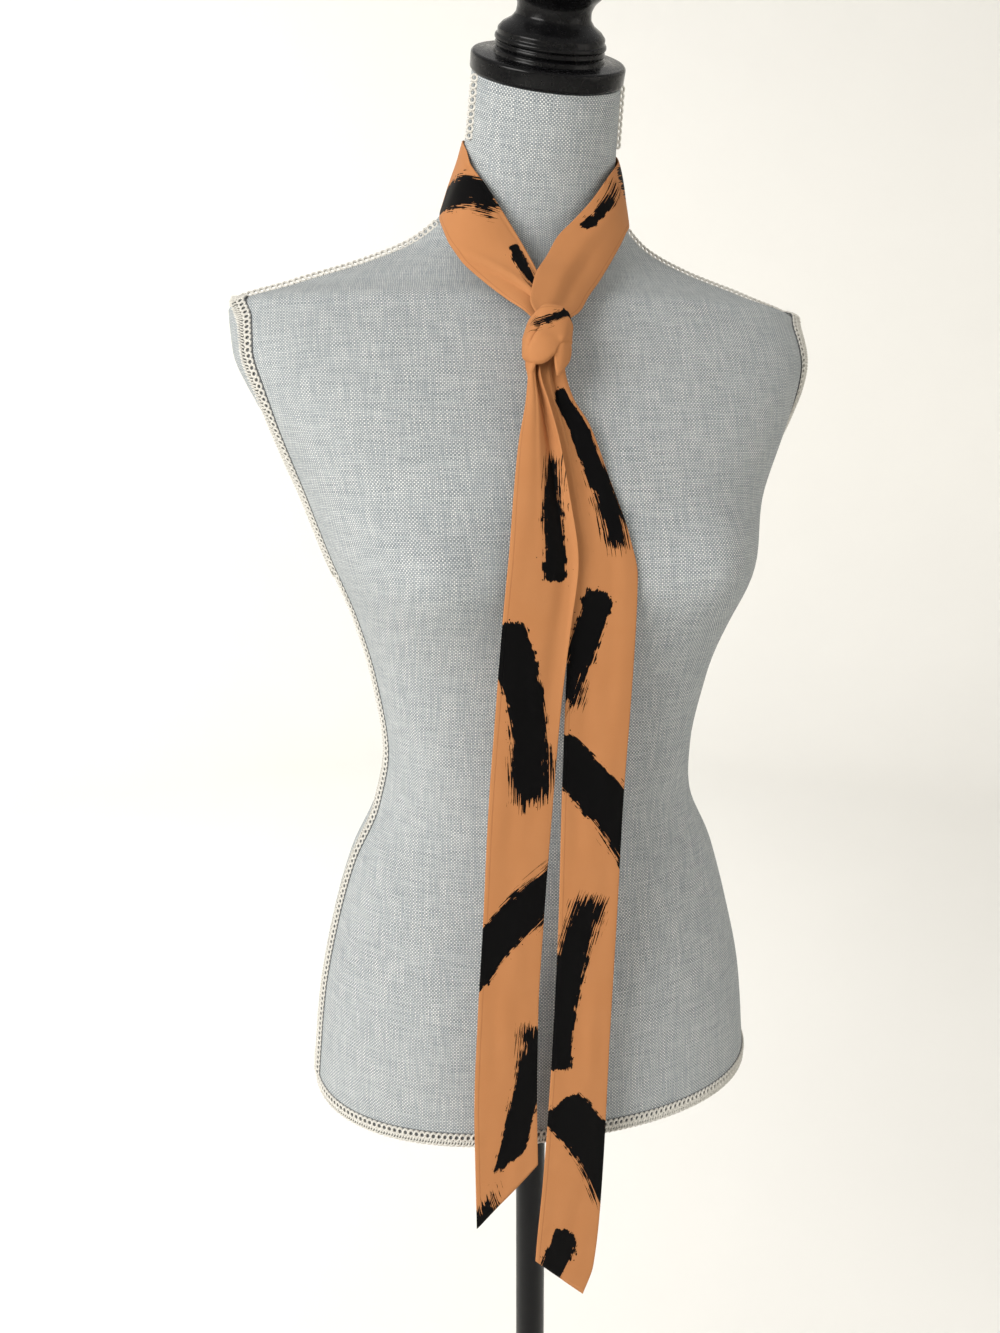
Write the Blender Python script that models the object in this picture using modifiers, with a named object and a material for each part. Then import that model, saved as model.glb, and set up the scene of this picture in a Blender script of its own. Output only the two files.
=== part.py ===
# A skinny scarf knotted round the neck of a linen dress form on a turned stand.
# Metres, +Z up. The floor is z = 0, the pole stands on the origin and the form faces -Y.
import bpy
import numpy as np
from mathutils import Vector
from mathutils.bvhtree import BVHTree

# Tables and sizes are in millimetres, and MM turns them into metres.
MM = 0.001
SEAM_GAP = 0.3

# The neck cap sits on the neck's leaning axis: the middle of its disc's top face, and its lean.
CAP_TILT = 30
CAP_SEAT_Y = -37
CAP_SEAT_Z = 1497
DISC_THICKNESS = 10
NECK_TOP_Y = CAP_SEAT_Y + (DISC_THICKNESS + SEAM_GAP) * np.sin(np.radians(CAP_TILT))
NECK_TOP_Z = CAP_SEAT_Z - (DISC_THICKNESS + SEAM_GAP) * np.cos(np.radians(CAP_TILT))
HEM_HEIGHT = 842

# Dress form: one row a section. Half width, reach to the front and reach to the back are measured
# from the section's centre, which lies on x = 0. Tilt leans the section's front edge down.
FORM_TABLE = ("height", "centre_y", "tilt", "half_width", "front", "back", "square")
FORM_ROWS = (
    ("hem edge", HEM_HEIGHT, -1, 0, 154.5, 106.5, 106.5, 2.3),
    ("hem", 846, -1, 0, 157, 109, 109, 2.3),
    ("low hip", 875, -2, 0, 154.5, 107, 113, 2.3),
    ("hip", 915, -3, 0, 150, 105, 111, 2.25),
    ("high hip", 960, -2, 0, 140.5, 100, 101, 2.2),
    ("low waist", 1005, -4.5, 0, 127.5, 88.5, 90.5, 2.15),
    ("waist", 1045, -7, 0, 109.5, 83, 83, 2.15),
    ("low rib", 1085, -12.5, 0, 103, 79.5, 87.5, 2.6),
    ("rib", 1130, -13.5, 0, 109, 86.5, 96.5, 2.8),
    ("under bust", 1170, -11, 0, 119.5, 104, 103, 2.85),
    ("bust", 1210, -2.5, 0, 135, 121.5, 103.5, 2.9),
    ("over bust", 1250, 7.5, 0, 150, 120.5, 97.5, 2.65),
    ("chest", 1295, 13, 0, 170.5, 105, 90, 2.9),
    ("under the tips", 1335, 14.5, 0, 188, 88.5, 81.5, 2.4),
    ("shoulder tips", 1360, 20, 0, 189.5, 80, 68, 2.0),
    ("outer slope", 1376, 22, 3, 152, 75, 60, 1.9),
    ("inner slope", 1390, 20, 6, 108.5, 70, 56, 1.9),
    ("neck root", 1405, 11, 10, 73, 60, 54, 1.95),
    ("low neck", 1422, 0, 15, 55, 53, 50, 2.0),
    ("neck", 1450, -17, 23, 46.2, 46, 45, 2.0),
    ("neck top", NECK_TOP_Z, NECK_TOP_Y, CAP_TILT, 43.9, 44, 44, 2.0),
)
FORM_STEPS = 2
FORM_POINTS = 52
BUST_SIDE = 88
BUST_HEIGHT = 1204
BUST_REACH = 16
BUST_WIDTH = 34
BUST_TALL = 34

# Neck cap: radius, then height up the leaning axis from the disc's top face.
CAP_SEGMENTS = 36
CAP_PROFILE = (
    ("knob crown", 0, 68),
    ("knob crown side", 8, 67),
    ("knob shoulder", 18, 63.6),
    ("knob side", 26, 57.5),
    ("knob widest", 31, 49),
    ("knob low side", 31.5, 42),
    ("flare", 29.5, 36),
    ("flare foot", 26, 31),
    ("waist top", 22.6, 27.4),
    ("waist", 21.2, 23.5),
    ("waist foot", 21.6, 20),
    ("cove", 24, 17.2),
    ("cove foot", 28.5, 14.6),
    ("ogee", 31, 12),
    ("ogee foot", 31, 9.6),
    ("lip top", 32.2, 8.8),
    ("lip", 32.4, 7),
    ("upper groove", 31, 6.2),
    ("upper bead", 32, 5),
    ("lower bead", 32, 3.6),
    ("lower groove", 31, 2.8),
    ("step", 32.4, 2),
    ("step foot", 32.4, 0),
    ("disc top edge", 44, 0),
    ("disc rim top", 45.2, -1.2),
    ("disc rim foot", 45.2, 1.2 - DISC_THICKNESS),
    ("disc low edge", 44, -DISC_THICKNESS),
    ("underside", 0, -DISC_THICKNESS),
)

# Stand: radius, then height. The pole ends in a socket under the form and on the base's boss.
POLE_SEGMENTS = 28
POLE_TOP = HEM_HEIGHT - SEAM_GAP
POLE_RADIUS = 11
BOSS_TOP = 40
POLE_PROFILE = (
    ("top", 0, POLE_TOP),
    ("socket top", 26, POLE_TOP),
    ("socket rim", 27, POLE_TOP - 1),
    ("socket foot", 27, POLE_TOP - 9),
    ("socket neck", 15, POLE_TOP - 14),
    ("pole top", POLE_RADIUS, POLE_TOP - 20),
    ("pole foot", POLE_RADIUS, BOSS_TOP + SEAM_GAP),
    ("bottom", 0, BOSS_TOP + SEAM_GAP),
)
BASE_SEGMENTS = 56
BASE_PROFILE = (
    ("boss top", 0, BOSS_TOP),
    ("boss edge", 17, BOSS_TOP),
    ("boss rim", 19, BOSS_TOP - 2),
    ("boss side", 19, 26),
    ("boss foot", 26, 20),
    ("inner top", 60, 17),
    ("outer top", 150, 13),
    ("rim top", 174, 11),
    ("rim shoulder", 180, 7),
    ("rim foot", 180, 1.5),
    ("rim underside", 178.5, 0),
    ("underside", 0, 0),
)

# Scarf: one flat tube of two layers, so one wall stands for both.
TAIL_WALL = 1.5
NECK_WALL = 1.8
EDGE_SHARE = 0.55
FORM_CLEARANCE = 0.5
TAIL_ALONG = 36
TAIL_ACROSS = 14
NECK_ALONG = 30
NECK_ACROSS = 9
NECK_MIDDLE = (0, -15, 1400)

# Tails: the left and right edge's place, then how far the middle of the cloth stands in front of
# the pole and how deep its lengthwise folds are.
TAIL_TABLE = ("left_x", "left_z", "right_x", "right_z", "reach", "fold")
LEFT_TAIL = (
    ("in the knot", -26.5, 1330, -20.5, 1330, 99.5, 0.3),
    ("knot mouth", -28.5, 1316, -22.2, 1316, 103, 0.5),
    ("gathered", -31, 1300, -18.4, 1300, 107.5, 1.2),
    ("opening", -36, 1279, -13.4, 1279, 112.5, 2.2),
    ("half open", -41, 1250, -9.8, 1250, 121, 2.0),
    ("over the bust", -46, 1215, -6.8, 1215, 130, 1.5),
    ("under the bust", -50, 1180, -11, 1180, 132.2, 1.0),
    ("rib", -53.5, 1135, -16, 1135, 131.5, 0.7),
    ("waist", -57.6, 1078, -20, 1078, 130, 0.5),
    ("low waist", -61, 1007, -24.5, 1007, 128.5, 0.4),
    ("hip", -64.6, 946, -27.6, 946, 128, 0.3),
    ("above the end", -67.2, 880, -28.2, 892, 128, 0.3),
    ("end", -66.4, 803.5, -27.5, 842, 128, 0.2),
)
RIGHT_TAIL = (
    ("in the knot", -18, 1332, -6.5, 1332, 95, 0.5),
    ("knot mouth", -19.6, 1318, -6, 1318, 98, 0.8),
    ("gathered", -18.4, 1303, -2.2, 1303, 101.2, 1.2),
    ("opening", -17, 1288, 6.6, 1288, 104.5, 1.6),
    ("half open", -15, 1260, 15.5, 1260, 112.5, 1.4),
    ("over the bust", -13, 1227, 25, 1227, 123, 1.0),
    ("bust", -12, 1205, 28.7, 1205, 127.2, 0.6),
    ("under the bust", -11.6, 1180, 28.2, 1180, 128, 0.5),
    ("rib", -13, 1130, 26, 1130, 128, 0.4),
    ("waist", -14.4, 1076, 23, 1076, 128, 0.4),
    ("low waist", -15.6, 1007, 20.7, 1007, 128, 0.3),
    ("hip", -18.6, 927, 17.7, 927, 128, 0.3),
    ("above the end", -24.2, 830, 14.4, 824, 128, 0.3),
    ("tip", -28, 786, 9.5, 762, 128, 0.2),
    ("end", -28.9, 773, 2.8, 742, 128, 0.2),
)
# Where the ridges stand across a tail: waves in all, and the first ridge's share of the width.
LEFT_WAVES = 2.0
LEFT_FIRST = 0.1
RIGHT_WAVES = 1.5
RIGHT_FIRST = 0.16

# Neck stretches from the knot round to the back: lower edge, then upper edge, then how far the
# middle stands out from the straight line between the two.
NECK_TABLE = ("low_x", "low_y", "low_z", "up_x", "up_y", "up_z", "crown")
NECK_LEFT = (
    ("in the knot", -20.5, -88, 1344.5, -8.5, -85, 1348.5, 0.5),
    ("knot mouth", -25.4, -84.5, 1350, -11, -79.5, 1361, 1.0),
    ("crossing", -34.8, -73.5, 1358.6, -16, -73, 1374, 1.6),
    ("front crease", -45.3, -65, 1368.6, -21.5, -63.5, 1388.5, 2.4),
    ("front", -57.2, -54, 1382.5, -29.5, -54, 1405.5, 3.0),
    ("front side", -62, -42.4, 1394.2, -38.5, -45.5, 1423, 2.6),
    ("side", -63, -27, 1406, -46.8, -33, 1440, 0.6),
    ("behind the side", -60.4, -6, 1415.5, -46.4, -14, 1455, -1.2),
    ("back side", -54, 19, 1424.5, -41, 7, 1462, 0.2),
    ("back", -33, 43, 1430.5, -25, 23, 1465, 0.6),
    ("centre back", -SEAM_GAP, 51.5, 1432.5, -SEAM_GAP, 28.5, 1466, 0.5),
)
NECK_RIGHT = (
    ("in the knot", -6, -96.5, 1341.5, -22, -94.5, 1347.5, 0.6),
    ("knot mouth", -1.2, -91, 1345.8, -23.8, -89, 1354.5, 1.0),
    ("crossing", 6.5, -83, 1350.5, -22, -85, 1361.5, 2.0),
    ("over the left", 14.9, -73.5, 1360.7, -18, -79.5, 1371.5, 2.6),
    ("front crease", 23.1, -66.5, 1369.9, -9.3, -70, 1382.5, 3.2),
    ("front", 31.2, -60.6, 1380.5, -1.5, -63.5, 1394, 3.2),
    ("front middle", 40.1, -53, 1392.7, 9.5, -59, 1404.5, 3.0),
    ("front side", 47.8, -43.5, 1403.5, 21, -56, 1416, 2.6),
    ("side front", 52.8, -31, 1407.5, 33, -51, 1431, 2.2),
    ("side", 56.8, -15, 1411.5, 44.6, -33, 1445, 0.8),
    ("behind the side", 58.8, 2, 1417.5, 47.6, -12, 1454, -0.6),
    ("back side", 53.5, 22, 1425, 41.5, 7.5, 1461.5, 0.2),
    ("back", 33, 43, 1430.5, 25, 23, 1465, 0.6),
    ("centre back", SEAM_GAP, 51.5, 1432.5, SEAM_GAP, 28.5, 1466, 0.5),
)

# Knot: a wrap round the gathered strands. Each section is centre_x, centre_y, half width and half
# depth. The rim's table has one row a place round it, turning from the viewer's right through the
# front to the left and back, with the height of the upper and of the lower rim.
KNOT_WALL = 2.0
KNOT_POINTS = 56
KNOT_STEPS = 8
KNOT_TOP = (-12.2, -89.8, 12.6, 10.8)
KNOT_MIDDLE = (-15.6, -96.3, 13.6, 11.8)
KNOT_BOTTOM = (-17.3, -100.8, 13.8, 10.4)
KNOT_ROLL = 1.2
KNOT_SQUARE = 2.4
KNOT_RIM_TABLE = ("angle", "upper", "lower")
KNOT_RIM = (
    ("right", 0, 1341, 1327),
    ("front right", 36, 1344.5, 1324),
    ("lobe side", 50, 1348, 1318.5),
    ("lobe tip", 62, 1350, 1316),
    ("slot foot", 75, 1351.3, 1320),
    ("slot", 87, 1351.5, 1327),
    ("front", 104, 1352.3, 1322),
    ("front left", 140, 1351.5, 1320),
    ("left tuck", 166, 1348.5, 1315.5),
    ("left", 190, 1346, 1318),
    ("back left", 225, 1343.5, 1321),
    ("back", 270, 1343.5, 1323),
    ("back right", 320, 1342, 1325),
    ("right again", 360, 1341, 1327),
)

MATERIALS = {
    "linen": ((0.46, 0.51, 0.55), 0.9, 0.0),
    "camel cloth": ((0.59, 0.28, 0.11), 0.75, 0.0),
    "camel cloth under": ((0.52, 0.24, 0.09), 0.75, 0.0),
    "knot cloth": ((0.64, 0.32, 0.13), 0.75, 0.0),
    "black wood": ((0.012, 0.012, 0.014), 0.35, 0.0),
    "black metal": ((0.02, 0.02, 0.022), 0.4, 0.6),
}


def clear_scene():
    for obj in list(bpy.data.objects):
        bpy.data.objects.remove(obj)


def make_material(name):
    colour, roughness, metallic = MATERIALS[name]
    material = bpy.data.materials.new(name)
    material.use_nodes = True
    shader = material.node_tree.nodes["Principled BSDF"]
    shader.inputs["Base Color"].default_value = (*colour, 1)
    shader.inputs["Roughness"].default_value = roughness
    shader.inputs["Metallic"].default_value = metallic
    return material


def table(columns, rows):
    """The named columns of a table, each as an array down its rows."""
    values = np.array([row[1:] for row in rows], float)
    return {name: values[:, i] for i, name in enumerate(columns)}


def slopes_of(x, y):
    """Slopes of a smooth curve through the points that doesn't overshoot between them."""
    step = np.diff(x)
    rise = np.diff(y) / step
    slopes = np.zeros(len(x))
    slopes[0] = rise[0]
    slopes[-1] = rise[-1]
    for i in range(1, len(x) - 1):
        if rise[i - 1] * rise[i] > 0:
            first = 2 * step[i] + step[i - 1]
            second = step[i] + 2 * step[i - 1]
            slopes[i] = (first + second) / (first / rise[i - 1] + second / rise[i])
    return slopes


def smooth(x, y, at):
    x = np.asarray(x, float)
    y = np.asarray(y, float)
    slopes = slopes_of(x, y)
    i = np.clip(np.searchsorted(x, at, side="right") - 1, 0, len(x) - 2)
    step = x[i + 1] - x[i]
    t = (at - x[i]) / step
    start = (1 + 2 * t) * (1 - t) ** 2 * y[i] + t * (1 - t) ** 2 * step * slopes[i]
    end = t**2 * (3 - 2 * t) * y[i + 1] + t**2 * (t - 1) * step * slopes[i + 1]
    return start + end


def add_object(name, points, faces, material, collection):
    mesh = bpy.data.meshes.new(name)
    mesh.from_pydata([tuple(p) for p in np.asarray(points) * MM], [], faces)
    mesh.validate()
    obj = bpy.data.objects.new(name, mesh)
    collection.objects.link(obj)
    mesh.materials.append(material)
    for polygon in mesh.polygons:
        polygon.use_smooth = True
    return obj


def form_rings():
    columns = table(FORM_TABLE, FORM_ROWS)
    order = np.arange(len(FORM_ROWS))
    at = np.linspace(0, order[-1], order[-1] * FORM_STEPS + 1)
    section = {name: smooth(order, values, at) for name, values in columns.items()}
    turn = np.linspace(0, 2 * np.pi, FORM_POINTS, endpoint=False)
    side = np.cos(turn)
    depth = -np.sin(turn)
    rings = []
    for i in range(len(at)):
        power = 2 / section["square"][i]
        x = section["half_width"][i] * np.sign(side) * np.abs(side) ** power
        reach = np.where(depth < 0, section["front"][i], section["back"][i])
        y = reach * np.sign(depth) * np.abs(depth) ** power
        lean = np.radians(section["tilt"][i])
        height = section["height"][i] + y * np.sin(lean)
        bump = bust_bumps(x, height) * (depth < 0)
        rings.append(np.stack([x, section["centre_y"][i] + y * np.cos(lean) - bump, height], -1))
    return np.array(rings)


def bust_bumps(x, height):
    """How far the two busts stand out of the plain section."""
    across = (np.abs(x) - BUST_SIDE) / BUST_WIDTH
    up = (height - BUST_HEIGHT) / BUST_TALL
    return BUST_REACH * np.exp(-(across**2) - up**2)


def ring_faces(count, around):
    """Side faces between rings that follow each other, turning so that they face out."""
    faces = []
    for i in range(count - 1):
        for j in range(around):
            k = (j + 1) % around
            faces.append((i * around + j, (i + 1) * around + j, (i + 1) * around + k, i * around + k))
    return faces


def make_form(collection):
    rings = form_rings()
    faces = ring_faces(len(rings), FORM_POINTS)
    faces.append(tuple(range(FORM_POINTS)))
    last = (len(rings) - 1) * FORM_POINTS
    faces.append(tuple(last + j for j in reversed(range(FORM_POINTS))))
    return add_object(
        "dress_form_body", rings.reshape(-1, 3), faces, make_material("linen"), collection
    )


def turned(name, profile, segments, material, collection):
    """A profile at +X, from the top down its outer side, turned round the upright axis."""
    points = [(radius * MM, 0, height * MM) for _, radius, height in profile]
    edges = [(i, i + 1) for i in range(len(points) - 1)]
    mesh = bpy.data.meshes.new(name)
    mesh.from_pydata(points, edges, [])
    obj = bpy.data.objects.new(name, mesh)
    collection.objects.link(obj)
    mesh.materials.append(material)
    screw = obj.modifiers.new("Turn", "SCREW")
    screw.axis = "Z"
    screw.steps = segments
    screw.render_steps = segments
    screw.use_merge_vertices = True
    screw.merge_threshold = 0.00005
    screw.use_smooth_shade = True
    return obj


def form_tree(form):
    """A search tree over the form's surface, in millimetres."""
    points = [vertex.co / MM for vertex in form.data.vertices]
    return BVHTree.FromPolygons(points, [tuple(p.vertices) for p in form.data.polygons])


def kept_clear(grid, tree, distance):
    """Points nearer to the form than the distance, or inside it, moved out to that distance."""
    moved = grid.copy()
    for index in np.ndindex(grid.shape[:2]):
        point = Vector(grid[index])
        place, normal, _, _ = tree.find_nearest(point)
        if (point - place).dot(normal) < distance:
            moved[index] = place + normal * distance
    return moved


def grid_normals(grid, outward):
    """A unit normal at each point of a grid, turned to the side that outward points to."""
    along = np.gradient(grid, axis=0)
    across = np.gradient(grid, axis=1)
    normals = np.cross(along, across)
    normals /= np.linalg.norm(normals, axis=2, keepdims=True)
    facing = (normals * outward).sum()
    return normals if facing > 0 else -normals


def cloth_solid(name, grid, wall, outward, material, collection):
    """A closed wall of cloth round a grid of points, thinner at its two long edges."""
    rows, columns = grid.shape[:2]
    share = np.ones(columns)
    share[0] = EDGE_SHARE
    share[-1] = EDGE_SHARE
    half = wall / 2 * share[None, :, None]
    normals = grid_normals(grid, outward)
    walls = (grid + normals * half, grid - normals * half)
    points = np.concatenate([side.reshape(-1, 3) for side in walls])
    under = rows * columns
    faces = []
    for i in range(rows - 1):
        for j in range(columns - 1):
            a = i * columns + j
            b = a + columns
            faces.append((a, b, b + 1, a + 1))
            faces.append((under + a, under + a + 1, under + b + 1, under + b))
    rim = [i * columns for i in range(rows)]
    rim += [(rows - 1) * columns + j for j in range(1, columns)]
    rim += [i * columns + columns - 1 for i in range(rows - 2, -1, -1)]
    rim += list(range(columns - 2, 0, -1))
    for a, b in zip(rim, rim[1:] + rim[:1]):
        faces.append((a, under + a, under + b, b))
    turn_out(points, faces)
    return add_object(name, points, faces, material, collection)


def turn_out(points, faces):
    """Turns every face round if the closed mesh is inside out."""
    volume = 0
    for face in faces:
        first = points[face[0]]
        for b, c in zip(face[1:-1], face[2:]):
            volume += np.dot(first, np.cross(points[b], points[c]))
    if volume < 0:
        for i, face in enumerate(faces):
            faces[i] = face[::-1]


def tail_grid(rows, waves, first):
    columns = table(TAIL_TABLE, rows)
    middle = (columns["left_z"] + columns["right_z"]) / 2
    down = middle[0] - middle
    at = np.linspace(0, down[-1], TAIL_ALONG)
    edge = {name: smooth(down, values, at) for name, values in columns.items()}
    across = np.linspace(0, 1, TAIL_ACROSS)
    ridge = (1 + np.cos(2 * np.pi * waves * (across - first))) / 2
    x = edge["left_x"][:, None] * (1 - across) + edge["right_x"][:, None] * across
    z = edge["left_z"][:, None] * (1 - across) + edge["right_z"][:, None] * across
    y = -edge["reach"][:, None] - 2 * edge["fold"][:, None] * (ridge - 0.5)
    return np.stack([x, y, z], -1)


def neck_grid(rows):
    columns = table(NECK_TABLE, rows)
    low = np.stack([columns["low_x"], columns["low_y"], columns["low_z"]], -1)
    up = np.stack([columns["up_x"], columns["up_y"], columns["up_z"]], -1)
    middle = (low + up) / 2
    along = np.concatenate([[0], np.cumsum(np.linalg.norm(np.diff(middle, axis=0), axis=1))])
    at = np.linspace(0, along[-1], NECK_ALONG)
    low = np.stack([smooth(along, low[:, k], at) for k in range(3)], -1)
    up = np.stack([smooth(along, up[:, k], at) for k in range(3)], -1)
    crown = smooth(along, columns["crown"], at)
    across = np.linspace(0, 1, NECK_ACROSS)[None, :, None]
    grid = low[:, None, :] * (1 - across) + up[:, None, :] * across
    normals = grid_normals(grid, away_from_neck(grid))
    return grid + normals * crown[:, None, None] * np.sin(np.pi * across)


def away_from_neck(grid):
    """Directions from a point inside the neck's root to the points of the grid."""
    outward = grid - np.array(NECK_MIDDLE)
    return outward / np.linalg.norm(outward, axis=2, keepdims=True)


def knot_section(share, turn):
    """The wrap's outer section at a share of the way down it: x and y round it."""
    spans = [smooth((0, 0.5, 1), values, share) for values in zip(KNOT_TOP, KNOT_MIDDLE, KNOT_BOTTOM)]
    centre_x, centre_y, half_width, half_depth = spans
    side = np.sign(np.cos(turn)) * np.abs(np.cos(turn)) ** (2 / KNOT_SQUARE)
    depth = np.sign(np.sin(turn)) * np.abs(np.sin(turn)) ** (2 / KNOT_SQUARE)
    return centre_x + half_width * side, centre_y - half_depth * depth


def make_knot(collection):
    """The wrap: an outer wall with rolled rims and an inner wall, open above and below."""
    columns = table(KNOT_RIM_TABLE, KNOT_RIM)
    turn = np.linspace(0, 2 * np.pi, KNOT_POINTS, endpoint=False)
    upper = smooth(columns["angle"], columns["upper"], np.degrees(turn))
    lower = smooth(columns["angle"], columns["lower"], np.degrees(turn))
    rings = []
    for inner in (False, True):
        shares = np.linspace(0, 1, KNOT_STEPS)
        for share in reversed(shares) if inner else shares:
            x, y = knot_section(share, turn)
            roll = KNOT_ROLL / 2 if share in (0, 1) else 0
            inset = KNOT_WALL - roll if inner else roll
            x -= inset * np.cos(turn)
            y += inset * np.sin(turn)
            rings.append(np.stack([x, y, upper + (lower - upper) * share], -1))
    rings.append(rings[0])
    points = np.array(rings[:-1]).reshape(-1, 3)
    faces = ring_faces(len(rings), KNOT_POINTS)
    total = len(points)
    faces = [tuple(index % total for index in face) for face in faces]
    turn_out(points, faces)
    return add_object("scarf_knot_wrap", points, faces, make_material("knot cloth"), collection)


def main():
    clear_scene()
    collection = bpy.data.collections.new("Skinny scarf on a dress form")
    bpy.context.scene.collection.children.link(collection)
    form = make_form(collection)
    tree = form_tree(form)
    wood = make_material("black wood")
    metal = make_material("black metal")
    cap = turned("dress_form_neck_cap", CAP_PROFILE, CAP_SEGMENTS, wood, collection)
    cap.location = (0, CAP_SEAT_Y * MM, CAP_SEAT_Z * MM)
    cap.rotation_euler[0] = np.radians(CAP_TILT)
    turned("dress_form_pole", POLE_PROFILE, POLE_SEGMENTS, metal, collection)
    turned("dress_form_base", BASE_PROFILE, BASE_SEGMENTS, metal, collection)
    cloth = make_material("camel cloth")
    under = make_material("camel cloth under")
    front = np.array([0, -1, 0])
    for name, rows, waves, first, material in (
        ("scarf_tail_left", LEFT_TAIL, LEFT_WAVES, LEFT_FIRST, cloth),
        ("scarf_tail_right", RIGHT_TAIL, RIGHT_WAVES, RIGHT_FIRST, under),
    ):
        grid = kept_clear(tail_grid(rows, waves, first), tree, TAIL_WALL / 2 + FORM_CLEARANCE)
        cloth_solid(name, grid, TAIL_WALL, front, material, collection)
    for name, rows, material in (
        ("scarf_neck_left", NECK_LEFT, under),
        ("scarf_neck_right", NECK_RIGHT, cloth),
    ):
        grid = kept_clear(neck_grid(rows), tree, NECK_WALL / 2 + FORM_CLEARANCE)
        cloth_solid(name, grid, NECK_WALL, away_from_neck(grid), material, collection)
    make_knot(collection)


main()
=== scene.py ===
# A skinny scarf knotted round the neck of a linen dress form. Metres, +Z up, the form faces -Y.
from math import cos, pi, radians, sin

import bpy
import numpy as np
from mathutils import Matrix, Vector
from mathutils.bvhtree import BVHTree


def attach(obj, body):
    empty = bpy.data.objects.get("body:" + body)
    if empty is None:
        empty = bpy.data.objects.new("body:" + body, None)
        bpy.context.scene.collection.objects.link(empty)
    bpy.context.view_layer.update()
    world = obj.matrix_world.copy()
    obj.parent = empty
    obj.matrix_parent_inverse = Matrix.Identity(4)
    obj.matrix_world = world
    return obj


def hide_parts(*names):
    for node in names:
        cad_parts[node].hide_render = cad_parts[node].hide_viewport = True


mm = 0.001  # tables are in millimetres
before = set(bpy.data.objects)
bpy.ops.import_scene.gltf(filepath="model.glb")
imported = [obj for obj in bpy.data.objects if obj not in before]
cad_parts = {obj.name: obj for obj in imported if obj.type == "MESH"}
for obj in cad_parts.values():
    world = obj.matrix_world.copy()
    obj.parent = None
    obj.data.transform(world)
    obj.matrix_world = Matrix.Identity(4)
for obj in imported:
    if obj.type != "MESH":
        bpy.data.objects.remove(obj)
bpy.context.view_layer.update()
print("frame loaded")


# Camera at the photograph's height and angle.
cameraSetup = {
    "place": (-0.1653, -0.6534, 1.269),
    "heading": -12.35,  # degrees, turned right of straight ahead
    "pitch": 11.7,  # degrees down
    "roll": -0.23,
    "lens": 27.0,
}


def addCamera():
    camera = bpy.data.objects.new("camera", bpy.data.cameras.new("camera"))
    bpy.context.scene.collection.objects.link(camera)
    camera.data.lens = cameraSetup["lens"]
    camera.data.sensor_width = 36
    camera.data.sensor_fit = "AUTO"
    camera.data.clip_start = 0.02
    turn = Matrix.Rotation(radians(cameraSetup["heading"]), 4, "Z")
    tip = Matrix.Rotation(radians(90 - cameraSetup["pitch"]), 4, "X")
    roll = Matrix.Rotation(radians(cameraSetup["roll"]), 4, "Z")
    camera.matrix_world = Matrix.Translation(cameraSetup["place"]) @ turn @ tip @ roll
    bpy.context.scene.camera = camera


addCamera()


# Small helpers for meshes.
def eased(x, y, at):  # a smooth curve through the points that doesn't overshoot
    x = np.asarray(x, float)
    y = np.asarray(y, float)
    step = np.diff(x)
    rise = np.diff(y) / step
    slope = np.zeros(len(x))
    slope[0] = rise[0]
    slope[-1] = rise[-1]
    for i in range(1, len(x) - 1):
        if rise[i - 1] * rise[i] > 0:
            a = 2 * step[i] + step[i - 1]
            b = step[i] + 2 * step[i - 1]
            slope[i] = (a + b) / (a / rise[i - 1] + b / rise[i])
    i = np.clip(np.searchsorted(x, at, side="right") - 1, 0, len(x) - 2)
    t = (at - x[i]) / step[i]
    start = (1 + 2 * t) * (1 - t) ** 2 * y[i] + t * (1 - t) ** 2 * step[i] * slope[i]
    return start + t**2 * (3 - 2 * t) * y[i + 1] + t**2 * (t - 1) * step[i] * slope[i + 1]


def softStep(x, low, high):
    t = np.clip((np.asarray(x, float) - low) / (high - low), 0, 1)
    return t * t * (3 - 2 * t)


def hump(x, middle, width):
    return np.exp(-(((x - middle) / width) ** 2))


def runLength(points):  # how far along the line each point lies
    return np.concatenate([[0], np.cumsum(np.linalg.norm(np.diff(points, axis=0), axis=1))])


def meshPiece(name, points, faces, material, uv=None, printed=None):
    mesh = bpy.data.meshes.new(name)
    mesh.from_pydata([tuple(p) for p in np.asarray(points) * mm], [], faces)
    if uv is not None:  # one pair a face corner, in metres
        layer = mesh.uv_layers.new(name="cloth")
        layer.data.foreach_set("uv", (np.asarray(uv, float) * mm).ravel())
    if printed is not None:  # depth inside a mark, then place along and across it and how dry it is
        layer = mesh.attributes.new("ink", "FLOAT", "POINT")
        layer.data.foreach_set("value", np.ascontiguousarray(printed[:, 0]))
        layer = mesh.attributes.new("brush", "FLOAT_VECTOR", "POINT")
        layer.data.foreach_set("vector", np.ascontiguousarray(printed[:, 1:]).ravel())
    mesh.polygons.foreach_set("use_smooth", [True] * len(mesh.polygons))
    mesh.update()
    piece = bpy.data.objects.new(name, mesh)
    bpy.context.scene.collection.objects.link(piece)
    mesh.materials.append(material)
    return piece


def pickOnly(piece):
    bpy.ops.object.select_all(action="DESELECT")
    piece.select_set(True)
    bpy.context.view_layer.objects.active = piece


def treeOf(piece):  # in millimetres, for finding the nearest cloth
    return BVHTree.FromPolygons([v.co / mm for v in piece.data.vertices],
                                [tuple(p.vertices) for p in piece.data.polygons])


def gridNormals(grid, outward):
    normals = np.cross(np.gradient(grid, axis=0), np.gradient(grid, axis=1))
    normals /= np.linalg.norm(normals, axis=2, keepdims=True) + 1e-12
    return normals if (normals * outward).sum() > 0 else -normals


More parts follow.
